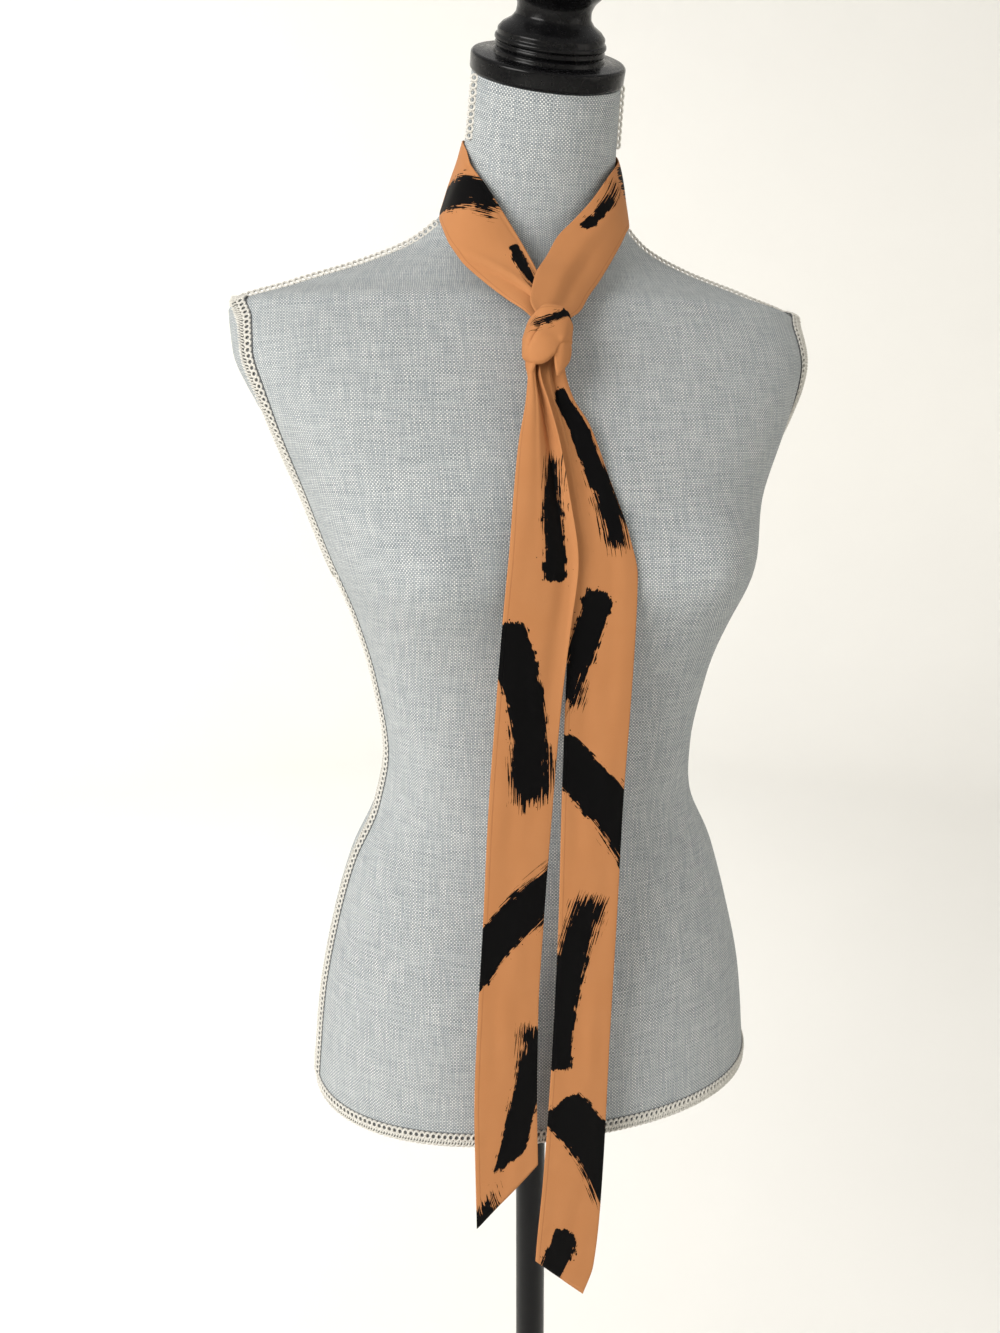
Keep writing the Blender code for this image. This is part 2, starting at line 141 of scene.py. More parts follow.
# Small helpers for materials.
def newMaterial(name, roughness, sheen=0.0, coat=0.0, specular=0.5):
    material = bpy.data.materials.new(name)
    material.use_nodes = True
    shader = material.node_tree.nodes["Principled BSDF"]
    shader.inputs["Roughness"].default_value = roughness
    shader.inputs["Sheen Weight"].default_value = sheen
    shader.inputs["Coat Weight"].default_value = coat
    shader.inputs["Specular IOR Level"].default_value = specular
    return material, material.node_tree, shader


def wire(tree, value, socket):
    if isinstance(value, bpy.types.NodeSocket):
        tree.links.new(value, socket)
    else:
        socket.default_value = value


def calc(tree, operation, a, b=0.0, c=0.0):
    node = tree.nodes.new("ShaderNodeMath")
    node.operation = operation
    for value, socket in zip((a, b, c), node.inputs):
        wire(tree, value, socket)
    return node.outputs[0]


def spread(tree, value, low, high, toLow=0.0, toHigh=1.0):
    node = tree.nodes.new("ShaderNodeMapRange")
    for value, name in ((value, "Value"), (low, "From Min"), (high, "From Max")):
        wire(tree, value, node.inputs[name])
    for value, name in ((toLow, "To Min"), (toHigh, "To Max")):
        wire(tree, value, node.inputs[name])
    return node.outputs[0]


def blendColour(tree, share, a, b):
    node = tree.nodes.new("ShaderNodeMix")
    node.data_type = "RGBA"
    wire(tree, share, node.inputs["Factor"])
    for value, socket in ((a, node.inputs[6]), (b, node.inputs[7])):
        wire(tree, value if isinstance(value, bpy.types.NodeSocket) else (*value, 1), socket)
    return node.outputs[2]


def noise(tree, place, scale, detail=2.0, stretch=None):
    if stretch:
        mapping = tree.nodes.new("ShaderNodeMapping")
        mapping.inputs["Scale"].default_value = stretch
        tree.links.new(place, mapping.inputs["Vector"])
        place = mapping.outputs[0]
    node = tree.nodes.new("ShaderNodeTexNoise")
    for value, name in ((scale, "Scale"), (detail, "Detail"), (place, "Vector")):
        wire(tree, value, node.inputs[name])
    return node.outputs[0]


def placeOf(tree):
    return tree.nodes.new("ShaderNodeTexCoord").outputs["Object"]


def uvOf(tree):
    node = tree.nodes.new("ShaderNodeUVMap")
    node.uv_map = "cloth"
    return node.outputs[0]


def bumpInto(tree, shader, height, strength, distance):
    node = tree.nodes.new("ShaderNodeBump")
    node.inputs["Strength"].default_value = strength
    node.inputs["Distance"].default_value = distance
    tree.links.new(height, node.inputs["Height"])
    tree.links.new(node.outputs[0], shader.inputs["Normal"])


def groupWith(name, inputs, outputs):
    group = bpy.data.node_groups.new(name, "ShaderNodeTree")
    for socketName, kind, value in inputs:
        socket = group.interface.new_socket(socketName, in_out="INPUT", socket_type=kind)
        if value is not None:
            socket.default_value = value
    for socketName, kind in outputs:
        group.interface.new_socket(socketName, in_out="OUTPUT", socket_type=kind)
    return group, group.nodes.new("NodeGroupInput"), group.nodes.new("NodeGroupOutput")


def placeGroup(tree, group, place, values):
    node = tree.nodes.new("ShaderNodeGroup")
    node.node_tree = group
    wire(tree, place, node.inputs["Place"])
    for name, value in values.items():
        wire(tree, value, node.inputs[name])
    return node.outputs


# Effects that several finishes share: a fine grain, and dust, soil or fading that lies in patches.
def makeGrainGroup():
    group, given, put = groupWith(
        "fine grain",
        (("Place", "NodeSocketVector", None), ("Scale", "NodeSocketFloat", 1000),
         ("Detail", "NodeSocketFloat", 2)),
        (("Height", "NodeSocketFloat"), ("Tone", "NodeSocketFloat")),
    )
    height = noise(group, *(given.outputs[name] for name in ("Place", "Scale", "Detail")))
    group.links.new(height, put.inputs["Height"])
    group.links.new(spread(group, height, 0.3, 0.7), put.inputs["Tone"])
    return group


def makePatchGroup():
    group, given, put = groupWith(
        "patches",
        (("Place", "NodeSocketVector", None), ("Scale", "NodeSocketFloat", 30),
         ("Detail", "NodeSocketFloat", 3), ("Low", "NodeSocketFloat", 0.5),
         ("High", "NodeSocketFloat", 0.75), ("Strength", "NodeSocketFloat", 0.2)),
        (("Mask", "NodeSocketFloat"),),
    )
    cloud = noise(group, *(given.outputs[name] for name in ("Place", "Scale", "Detail")))
    low, high, strength = (given.outputs[name] for name in ("Low", "High", "Strength"))
    group.links.new(spread(group, cloud, low, high, 0.0, strength), put.inputs["Mask"])
    return group


grainGroup = makeGrainGroup()
patchGroup = makePatchGroup()


# A plain weave on a cloth's own UV in metres: how high the threads stand, which thread is on top
# and how each thread's tone drifts along it.
weaveSetup = {
    "wander": (90, 0.9),  # how finely the threads stray, and how many threads far
    "apart": 7.31,  # gives each thread tones of its own
    "evenStart": 4000,  # keeps the count of threads above zero
}


def makeWeaveGroup():
    group, given, put = groupWith(
        "plain weave",
        (("Place", "NodeSocketVector", None), ("Pitch", "NodeSocketFloat", 0.0014),
         ("Slub Length", "NodeSocketFloat", 0.016)),
        (("Height", "NodeSocketFloat"), ("Warp On Top", "NodeSocketFloat"),
         ("Warp Tone", "NodeSocketFloat"), ("Weft Tone", "NodeSocketFloat")),
    )
    split = group.nodes.new("ShaderNodeSeparateXYZ")
    group.links.new(given.outputs["Place"], split.inputs[0])
    pitch = given.outputs["Pitch"]
    slub = given.outputs["Slub Length"]
    cells = [calc(group, "DIVIDE", split.outputs[k], pitch) for k in (0, 1)]
    fineness, reach = weaveSetup["wander"]
    wander = noise(group, given.outputs["Place"], fineness, 1)
    cells = [calc(group, "ADD", cell, calc(group, "MULTIPLY", wander, reach)) for cell in cells]
    index = [calc(group, "FLOOR", cell) for cell in cells]
    inside = [calc(group, "SUBTRACT", calc(group, "FRACT", cell), 0.5) for cell in cells]
    rounded = [calc(group, "SUBTRACT", 1, calc(group, "MULTIPLY", calc(group, "MULTIPLY", i, i), 4))
               for i in inside]
    group.links.new(calc(group, "MULTIPLY", rounded[0], rounded[1]), put.inputs["Height"])
    count = calc(group, "ADD", calc(group, "ADD", index[0], index[1]), weaveSetup["evenStart"])
    group.links.new(calc(group, "MODULO", count, 2), put.inputs["Warp On Top"])
    for own, along, socket in ((index[0], split.outputs[1], "Warp Tone"),
                               (index[1], split.outputs[0], "Weft Tone")):
        join = group.nodes.new("ShaderNodeCombineXYZ")
        group.links.new(calc(group, "MULTIPLY", own, weaveSetup["apart"]), join.inputs[0])
        group.links.new(calc(group, "DIVIDE", along, slub), join.inputs[1])
        group.links.new(noise(group, join.outputs[0], 1, 2), put.inputs[socket])
    return group


weaveGroup = makeWeaveGroup()


# Grey-blue heathered linen of the form's cover, with painted shade down between its threads.
linenFinish = {
    "weave": {"Pitch": 0.00108, "Slub Length": 0.02},
    "warpDark": (0.50, 0.53, 0.54),
    "warpLight": (0.84, 0.84, 0.815),
    "weftDark": (0.19, 0.22, 0.245),
    "weftLight": (0.44, 0.475, 0.495),
    "gap": (0.17, 0.19, 0.205),
    # gap: painted shade down between the threads
    "dull": (0.42, 0.45, 0.46),
    "dulling": {"Scale": 9, "Detail": 3, "Low": 0.35, "High": 0.7, "Strength": 0.16},
    "tones": (0.34, 0.66),
}


def makeLinen():
    material, tree, shader = newMaterial("heathered linen", 0.92, sheen=0.06, specular=0.15)
    weave = placeGroup(tree, weaveGroup, uvOf(tree), linenFinish["weave"])
    warpTone = spread(tree, weave["Warp Tone"], *linenFinish["tones"])
    weftTone = spread(tree, weave["Weft Tone"], *linenFinish["tones"])
    warp = blendColour(tree, warpTone, linenFinish["warpDark"], linenFinish["warpLight"])
    weft = blendColour(tree, weftTone, linenFinish["weftDark"], linenFinish["weftLight"])
    thread = blendColour(tree, weave["Warp On Top"], weft, warp)
    # painted shade: the thread colour darkens towards the gap colour where the weave sinks between threads
    deep = spread(tree, weave["Height"], 0.0, 0.75)
    thread = blendColour(tree, deep, linenFinish["gap"], thread)
    dull = placeGroup(tree, patchGroup, placeOf(tree), linenFinish["dulling"])["Mask"]
    tree.links.new(blendColour(tree, dull, thread, linenFinish["dull"]), shader.inputs["Base Color"])
    bumpInto(tree, shader, weave["Height"], 0.55, 0.0004)
    return material


linen = makeLinen()
print("linen ready")


# The form's torso under its linen cover. Rows are height, centre's depth, lean in degrees, half
# width, reach to the front, reach to the back and squareness.
formShape = {
    "rows": (
        (842, -1, 0, 154.5, 106.5, 106.5, 2.3),  # hem edge
        (846, -1, 0, 157, 109, 109, 2.3),
        (875, -2, 0, 154.5, 107, 113, 2.3),
        (915, -3, 0, 150, 105, 111, 2.25),  # hip
        (960, -2, 0, 140.5, 100, 101, 2.2),
        (1005, -4.5, 0, 127.5, 88.5, 90.5, 2.15),
        (1045, -7, 0, 109.5, 83, 83, 2.15),  # waist
        (1085, -12.5, 0, 103, 79.5, 87.5, 2.6),
        (1130, -13.5, 0, 109, 86.5, 96.5, 2.8),
        (1170, -11, 0, 119.5, 104, 103, 2.85),
        (1210, -2.5, 0, 135, 121.5, 103.5, 2.9),  # bust
        (1250, 7.5, 0, 150, 120.5, 97.5, 2.65),
        (1295, 13, 0, 170.5, 105, 90, 2.9),
        (1335, 14.5, 0, 188, 88.5, 81.5, 2.4),
        (1360, 20, 0, 189.5, 80, 68, 2.0),  # shoulder tips
        (1376, 22, 3, 152, 75, 60, 1.9),
        (1390, 20, 6, 108.5, 70, 56, 1.9),
        (1405, 11, 10, 73, 60, 54, 1.95),  # neck root
        (1422, 0, 15, 55, 53, 50, 2.0),
        (1450, -17, 23, 46.2, 46, 45, 2.0),
        (1488.08, -31.85, 30, 43.9, 44, 44, 2.0),  # neck top
    ),
    "between": 7,
    "around": 160,
    "bust": (88, 1204, 16, 34),  # to the side, height, reach, spread
}


def formPoint(row, turn):  # turn is 0 at the viewer's right, pi/2 at the front
    row = np.asarray(row, float)
    turn = np.asarray(turn, float)
    columns = np.array(formShape["rows"], float).T
    order = np.arange(columns.shape[1])
    values = [eased(order, column, row) for column in columns]
    height, centre, lean, half, front, back, square = values
    side = np.cos(turn)
    depth = -np.sin(turn)
    power = 2 / square
    x = half * np.sign(side) * np.abs(side) ** power
    y = np.where(depth < 0, front, back) * np.sign(depth) * np.abs(depth) ** power
    lean = np.radians(lean)
    height = height + y * np.sin(lean)
    apart, up, reach, wide = formShape["bust"]
    swell = reach * np.exp(-(((np.abs(x) - apart) / wide) ** 2) - ((height - up) / wide) ** 2)
    return np.stack([x, centre + y * np.cos(lean) - swell * (depth < 0), height], -1)


def makeForm():
    last = len(formShape["rows"]) - 1
    rows = np.linspace(0, last, last * formShape["between"] + 1)
    around = formShape["around"]
    turns = np.linspace(0, 2 * pi, around, endpoint=False)
    rings = formPoint(rows[:, None], turns[None, :])
    steps = np.linalg.norm(np.diff(rings, axis=0), axis=2).mean(1)
    up = np.concatenate([[0], np.cumsum(steps)])
    closed = np.concatenate([rings, rings[:, :1]], 1)
    arc = np.linalg.norm(np.diff(closed, axis=1), axis=2)
    arc = np.concatenate([np.zeros((len(rows), 1)), np.cumsum(arc, 1)], 1)
    half = around // 2
    faces = []
    uv = []
    for i in range(len(rows) - 1):
        for j in range(around):
            k = (j + 1) % around
            faces.append((i * around + j, (i + 1) * around + j, (i + 1) * around + k, i * around + k))
            middle = half // 2 if j < half else half + half // 2  # front panel, then back panel
            for a, b in ((i, j), (i + 1, j), (i + 1, j + 1), (i, j + 1)):
                uv.append((arc[a, b] - arc[a, middle], up[a]))
    points = rings.reshape(-1, 3)
    for ring, turned in ((0, 1), (len(rows) - 1, -1)):  # closes the hem and the neck's top
        faces.append(tuple(ring * around + j for j in range(around))[::turned])
        uv += [tuple(points[ring * around + j][:2]) for j in range(around)][::turned]
    piece = meshPiece("linenForm", points, faces, linen, uv)
    pickOnly(piece)
    bpy.ops.object.shade_smooth_by_angle(angle=radians(35))
    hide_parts("dress_form_body")
    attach(piece, "root")
    return piece


form = makeForm()
formTree = treeOf(form)
print("form covered")


# Off-white gimp braid along the form's seams: a chain of small loops beside a plaited cord. Paths are
# row in the form's table and degrees turned from the side towards the front. On the neck and
# shoulders the chain runs alone and stands half on its edge. Cords are their place across and out
# from the braid's plane, and the backing its edge beside the chain and its thickness. The backing is a
# near-black strip, partly a real backing and partly painted shade: it shows as dark holes in the loops
# and as a painted shadow line beside the braid and along the hem's chain. The probe is how far round
# each loop, near it and above it the scarf is looked for.
braidSetup = {
    "pitch": 3.7,
    "loop": (1.62, 0.68),  # radius of a loop, and of its yarn
    "cordPitch": 1.9,
    "lean": (38, 20),  # of the lone chain, and of the whole braid across a corner seam
    "rise": (1.4, 2.0),  # how far each stands out
    "chainAcross": 2.1,
    "neck": ((20, 10), (18.5, 10), (17.0, 10)),
    "shoulder": ((17.0, 10), (16, 11), (15, 12), (14.36, 6)),
    "armholeFront": ((9.7, 2), (10.1, 2.5), (10.6, 4), (11.2, 7.5), (11.8, 13), (12.4, 18),
                     (13.0, 20), (13.6, 19.5), (14.1, 15), (14.3, 8), (14.35, 0)),
    "armholeBack": ((9.7, 2), (10.1, -3), (10.6, -8), (11.2, -14), (11.8, -19), (12.4, -21.5),
                    (13.0, -21), (13.6, -19.5), (14.1, -15), (14.3, -8), (14.35, 0)),
    "sideLeft": ((9.7, 2), (7, 4), (5, 5), (1.3, 5)),
    "sideRight": ((9.7, 2), (7, -1), (5, -2), (1.3, -2)),
    "armholeCords": ((-1.5, 2.0), (-3.4, 2.0), (-4.6, -0.2)),
    "lowerCords": ((-1.4, 1.9), (-2.7, 0.1)),
    "probe": (2.6, 3.4, 3.0, 12),
    "shadeBacking": (5.6, 0.25, 1.9),  # thinner beside the chain, thicker under the cords
    "shadeBackingPitch": 2.5,
    "shadeBackingSunk": 0.2,
    "loneShadeBacking": (1.5, 0.2),
    "hemChains": (1.22, 0.35),
    "hemCords": (1.09, 1.02, 0.75),
    "hemShadeBacking": (2.7, 0.3),
    "hemRise": 0.7,
    "hemSteps": 900,
}


braidFinish = {
    "fibre": {"Scale": 1500, "Detail": 2},
    "soil": {"Scale": 60, "Detail": 3, "Low": 0.5, "High": 0.75, "Strength": 0.25},
    "soilShade": 0.75,
}


def finishBraid(name, colour, speckle):
    material, tree, shader = newMaterial(name, 0.88, sheen=0.2)
    place = placeOf(tree)
    fibre = placeGroup(tree, grainGroup, place, braidFinish["fibre"])
    dark = tuple(c * speckle for c in colour)
    soiled = tuple(c * braidFinish["soilShade"] for c in colour)
    soil = placeGroup(tree, patchGroup, place, braidFinish["soil"])["Mask"]
    base = blendColour(tree, fibre["Tone"], dark, colour)
    tree.links.new(blendColour(tree, soil, base, soiled), shader.inputs["Base Color"])
    bumpInto(tree, shader, fibre["Height"], 0.5, 0.0002)
    return material


cotton = finishBraid("off-white cotton braid", (0.72, 0.70, 0.645), 0.62)
# painted shade: the backing strip's near-black colour stands for the shade in the loops' holes and beside
# the braid, over a real backing
shadeTape = finishBraid("braid's backing, dark as painted shade", (0.13, 0.137, 0.142), 0.6)


def loopShape():  # one loop of the chain, modelled once
    bpy.ops.object.select_all(action="DESELECT")
    radius, yarn = braidSetup["loop"]
    bpy.ops.mesh.primitive_torus_add(major_segments=9, minor_segments=5, major_radius=radius,
                                     minor_radius=yarn, location=(0, 0, 0))
    return takeShape((1.04, 1.34, 1), 0.16, 0)


def cordShape():  # one twist of the cord beside the loops
    bpy.ops.object.select_all(action="DESELECT")
    bpy.ops.mesh.primitive_uv_sphere_add(segments=6, ring_count=5, radius=1, location=(0, 0, 0))
    return takeShape((0.62, 1.45, 0.55), 0, 0.6)


def takeShape(size, tilt, slant):  # the shape's points and faces, for laying many times
    piece = bpy.context.object
    bpy.ops.object.mode_set(mode="EDIT")
    bpy.ops.mesh.select_all(action="SELECT")
    bpy.ops.transform.resize(value=size)
    bpy.ops.object.mode_set(mode="OBJECT")
    points = np.array([tuple(v.co) for v in piece.data.vertices])
    points[:, 2] += points[:, 0] * tilt
    points[:, 0] += points[:, 1] * slant
    faces = [tuple(p.vertices) for p in piece.data.polygons]
    bpy.data.objects.remove(piece)
    return points, faces


def formFrames(rows, turns, pitch):  # evenly spaced places on the form with their directions
    places = formPoint(rows, turns)
    length = runLength(places)
    count = max(2, round(length[-1] / pitch))
    at = (np.arange(count) + 0.5) * length[-1] / count
    row = np.interp(at, length, rows)
    turn = np.interp(at, length, turns)
    place = formPoint(row, turn)
    gap = 0.002
    last = len(formShape["rows"]) - 1
    above = formPoint(np.clip(row + gap, 0, last), turn) - formPoint(np.clip(row - gap, 0, last), turn)
    beside = formPoint(row, turn + gap) - formPoint(row, turn - gap)
    normal = np.cross(above, beside)
    normal *= np.sign((normal * (place - np.array([0, 0, 1]) * place[:, 2:])).sum(1))[:, None]
    normal /= np.linalg.norm(normal, axis=1, keepdims=True)
    along = np.gradient(place, axis=0)
    along -= normal * (along * normal).sum(1)[:, None]
    along /= np.linalg.norm(along, axis=1, keepdims=True)
    return place, along, np.cross(normal, along), normal


def laidCopies(shape, frames, across, lift, keep=None, lean=0.0):
    points, faces = shape
    place, along, beside, normal = frames
    turned = beside * cos(lean) + normal * sin(lean)
    beside, normal = turned, normal * cos(lean) - beside * sin(lean)
    put = (place + beside * across + normal * lift)[:, None] + (
        points[None, :, :1] * along[:, None] + points[None, :, 1:2] * beside[:, None]
        + points[None, :, 2:] * normal[:, None])
    if keep is not None:
        put = put[keep]
    allPoints = put.reshape(-1, 3)
    allFaces = [tuple(i * len(points) + v for v in face) for i in range(len(put)) for face in faces]
    return allPoints, allFaces


def joined(parts):
    points = []
    faces = []
    start = 0
    for partPoints, partFaces in parts:
        points.append(partPoints)
        faces += [tuple(start + v for v in face) for face in partFaces]
        start += len(partPoints)
    return np.concatenate(points), faces


# a dark strip under a braid: partly its real backing, partly painted shade
def shadeBackingStrip(rows, turns, low, high, lowLift, highLift):
    place, along, beside, normal = formFrames(rows, turns, braidSetup["shadeBackingPitch"])
    sunk = braidSetup["shadeBackingSunk"]
    sides = [place + beside * low - normal * sunk, place + beside * low + normal * lowLift,
             place + beside * high + normal * highLift, place + beside * high - normal * sunk]
    count = len(place)
    faces = []
    for i in range(count - 1):
        for k in range(4):
            m = (k + 1) % 4
            faces.append((k * count + i, m * count + i, m * count + i + 1, k * count + i + 1))
    faces.append(tuple(k * count for k in (3, 2, 1, 0)))
    faces.append(tuple(k * count + count - 1 for k in range(4)))
    return np.concatenate(sides), faces


def underScarf(frames, tree):  # the scarf's band covers the braid here
    place, along, beside, normal = frames
    ahead, aside, near, above = braidSetup["probe"]
    covered = []
    for i in range(len(place)):
        found = []
        for a, b in ((0, 0), (ahead, 0), (-ahead, 0), (0, aside), (0, -aside)):
            start = Vector(place[i] + along[i] * a + beside[i] * b)
            found.append(tree.find_nearest(start, near)[0])
            found.append(tree.ray_cast(start, Vector(normal[i]), above)[0])
        covered.append(any(hit is not None for hit in found))
    return np.array(covered)


def seamPath(name):
    rows, turned = np.array(braidSetup[name], float).T
    length = np.arange(len(rows))
    at = np.linspace(0, len(rows) - 1, 160)
    rows = eased(length, rows, at) if len(rows) > 2 else np.interp(at, length, rows)
    turned = np.radians(np.interp(at, length, turned))
    return rows, turned


def seamList():  # each seam's name, rows, turns, and the side that its chain lies on
    seams = []
    for side, facing, sideName in ((0, 1, "sideRight"), (pi, -1, "sideLeft")):
        for name, hand in (("neck", 1), ("shoulder", 1), (sideName, -1), ("armholeFront", 1),
                           ("armholeBack", -1)):
            rows, turned = seamPath(name)
            seams.append((name, rows, side + turned * facing, hand * facing))
    return seams


def layLoneChain(parts, seam, loop, bandTree):
    name, rows, turns, _ = seam
    frames = formFrames(rows, turns, braidSetup["pitch"])
    outside = frames[2][:, 1:2] > 0  # the edge towards the back is the raised one
    lean = radians(braidSetup["lean"][0]) * (1 if outside.mean() > 0.5 else -1)
    shown = ~underScarf(frames, bandTree)
    parts["upper"].append(laidCopies(loop, frames, 0, braidSetup["rise"][0], shown, lean))
    if name == "shoulder":
        wide, thick = braidSetup["loneShadeBacking"]
        parts["shadeTape"].append(shadeBackingStrip(rows, turns, -wide, wide, thick, thick))


def layFullBraid(parts, group, seam, loop, twist, bandTree):
    _, rows, turns, hand = seam
    frames = formFrames(rows, turns, braidSetup["pitch"])
    lean = -radians(braidSetup["lean"][1]) * hand
    chainAcross = braidSetup["chainAcross"] * hand
    shown = ~underScarf(frames, bandTree)
    parts[group].append(laidCopies(loop, frames, chainAcross, braidSetup["rise"][1], shown, lean))
    frames = formFrames(rows, turns, braidSetup["cordPitch"])
    cords = braidSetup[group + "Cords"]
    for across, lift in cords:
        parts[group].append(laidCopies(twist, frames, across * hand, lift, lean=lean))
    # the strip reaches past the chain so that its dark colour shows as a painted shadow line beside the
    # braid
    wide, thin, thick = braidSetup["shadeBacking"]
    edges = [(wide, thin), (cords[-2][0] - braidSetup["shadeBackingSunk"], thick)]
    (low, lowLift), (high, highLift) = edges if hand < 0 else edges[::-1]
    parts["shadeTape"].append(shadeBackingStrip(rows, turns, low * hand, high * hand, lowLift, highLift))


def layHem(parts, loop, twist):
    steps = braidSetup["hemSteps"]
    rise = braidSetup["hemRise"]
    turns = np.linspace(0, 2 * pi, steps)
    for shape, pitch, rows in ((loop, "pitch", "hemChains"), (twist, "cordPitch", "hemCords")):
        for row in braidSetup[rows]:
            frames = formFrames(np.full(steps, row), turns, braidSetup[pitch])
            parts["hem"].append(laidCopies(shape, frames, 0, rise))
    # a dark strip under the hem's chain, a painted shadow line along its edges
    wide, thick = braidSetup["hemShadeBacking"]
    rows = np.full(steps, braidSetup["hemChains"][0])
    parts["shadeTape"].append(shadeBackingStrip(rows, turns, -wide, wide, thick, thick))


def layBraid(bandTree):
    loop = loopShape()
    twist = cordShape()
    parts = {"upper": [], "armhole": [], "lower": [], "hem": [], "shadeTape": []}
    for seam in seamList():
        if seam[0] in ("neck", "shoulder"):
            layLoneChain(parts, seam, loop, bandTree)
        else:
            group = "armhole" if seam[0].startswith("armhole") else "lower"
            layFullBraid(parts, group, seam, loop, twist, bandTree)
    layHem(parts, loop, twist)
    for group, material in (("upper", cotton), ("armhole", cotton), ("lower", cotton),
                            ("hem", cotton), ("shadeTape", shadeTape)):
        points, faces = joined(parts[group])
        piece = meshPiece("braid_" + group, points, faces, material)
        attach(piece, "root")


# Camel crepe with a loose print of black brush swipes and dabs. The ink attribute is how far inside
# a mark a point lies, and the brush attribute its place along and across the mark, in millimetres,
# and how dry the brush is there.
clothFinish = {
    "camel": (0.438, 0.187, 0.071),
    "camelWorn": (0.497, 0.229, 0.097),
    # camelDeep darkens the cloth's grain at random, and is also the painted shade in the seam's groove
    "camelDeep": (0.31, 0.122, 0.045),
    "ink": (0.002, 0.002, 0.0023),
    "grain": {"Scale": 2600, "Detail": 2},
    "mottle": {"Scale": 45, "Detail": 3, "Low": 0.35, "High": 0.7, "Strength": 0.22},
    "wobble": (7.0, 4.5),  # millimetres that a mark's outline wanders, slowly and quickly
    "bristle": (2.4, 26.0),  # streaks of a wet and of a dry brush
    # seam: a groove along the tube, cut by the bump and painted darker as shade
    "seam": (0.0027, 0.00045),  # metres in from the tube's left edge, and half the groove's width
}


def centred(tree, value, size):
    return calc(tree, "MULTIPLY", calc(tree, "SUBTRACT", value, 0.5), size)


def makeScarfCloth():
    material, tree, shader = newMaterial("printed camel crepe", 0.74, sheen=0.015, specular=0.12)
    shader.inputs["Sheen Tint"].default_value = (1.0, 0.86, 0.72, 1)
    uv = uvOf(tree)
    ink = tree.nodes.new("ShaderNodeAttribute")
    ink.attribute_name = "ink"
    brush = tree.nodes.new("ShaderNodeAttribute")
    brush.attribute_name = "brush"
    split = tree.nodes.new("ShaderNodeSeparateXYZ")
    tree.links.new(brush.outputs["Vector"], split.inputs[0])
    wet, dry = clothFinish["bristle"]
    streak = noise(tree, brush.outputs["Vector"], 1, 2, stretch=(0.045, 1.25, 0))
    size = calc(tree, "MULTIPLY_ADD", split.outputs[2], dry, wet)
    edge = calc(tree, "ADD", ink.outputs["Fac"], centred(tree, streak, size))
    for scale, size in zip((60, 240), clothFinish["wobble"]):
        edge = calc(tree, "ADD", edge, centred(tree, noise(tree, uv, scale, 2), size))
    speck = calc(tree, "MULTIPLY", spread(tree, noise(tree, uv, 430, 1), 0.7, 0.82), 8.0)
    mark = spread(tree, calc(tree, "ADD", edge, speck), -0.12, 0.12)
    grain = placeGroup(tree, grainGroup, uv, clothFinish["grain"])
    ribs = noise(tree, uv, 1, 2, stretch=(2400, 500, 1))
    mottle = placeGroup(tree, patchGroup, placeOf(tree), clothFinish["mottle"])["Mask"]
    camel = blendColour(tree, mottle, clothFinish["camel"], clothFinish["camelWorn"])
    camel = blendColour(tree, calc(tree, "MULTIPLY", grain["Tone"], 0.14), camel,
                        clothFinish["camelDeep"])
    sides = tree.nodes.new("ShaderNodeSeparateXYZ")
    tree.links.new(uv, sides.inputs[0])
    # painted shade: the camel darkens towards camelDeep along the seam's groove
    seamAt, seamHalf = clothFinish["seam"]
    away = calc(tree, "ABSOLUTE", calc(tree, "SUBTRACT", sides.outputs[0], seamAt))
    seam = spread(tree, away, seamHalf * 0.3, seamHalf, 1.0, 0.0)
    camel = blendColour(tree, calc(tree, "MULTIPLY", seam, 0.55), camel, clothFinish["camelDeep"])
    cloth = blendColour(tree, mark, camel, clothFinish["ink"])
    tree.links.new(cloth, shader.inputs["Base Color"])
    tree.links.new(spread(tree, mark, 0, 1, 0.74, 0.66), shader.inputs["Roughness"])
    tree.links.new(spread(tree, mark, 0, 1, 0.12, 0.05), shader.inputs["Specular IOR Level"])
    height = calc(tree, "ADD", grain["Height"], ribs)
    height = calc(tree, "SUBTRACT", height, calc(tree, "MULTIPLY", seam, 2.5))
    bumpInto(tree, shader, height, 0.22, 0.0002)
    return material


scarfCloth = makeScarfCloth()


# The scarf is one pressed tube: a front layer and a back layer, each a wall of thin cloth.
tubeSetup = {
    "width": 40.0,
    "half": 0.62,  # half the pressed tube's thickness
    "cloth": 0.34,
    "across": 45,
    "tailRows": 230,
    "clear": 1.07,  # from the form to the tube's middle
    "pinch": (0.14, 3),  # how much thinner its closed end is, over how long
}


def acrossShares(count):  # closer together where the tube turns over at its two edges
    edge = [0, 0.003, 0.010, 0.022]
    middle = np.linspace(0.04, 0.96, count - 8)
    return np.concatenate([edge, middle, 1 - np.array(edge)[::-1]])


def layerProfile(shares):
    return np.sqrt(np.clip(1 - np.abs(2 * shares - 1) ** 8, 0, 1))


def loopPoints(grid, normals, half):
    front = grid + normals * half
    back = grid - normals * half
    return np.concatenate([front, back[:, -2:0:-1]], 1)


def shrunk(grid, inset):  # the grid drawn in from its two long edges
    shares = acrossShares(grid.shape[1])
    width = np.linalg.norm(np.diff(grid, axis=1), axis=2).sum(1)
    out = np.empty_like(grid)
    for i in range(len(grid)):
        at = 0.5 + (shares - 0.5) * (1 - 2 * min(inset / max(width[i], 1), 0.3))
        for k in range(3):
            out[i, :, k] = np.interp(at, shares, grid[i, :, k])
    return out


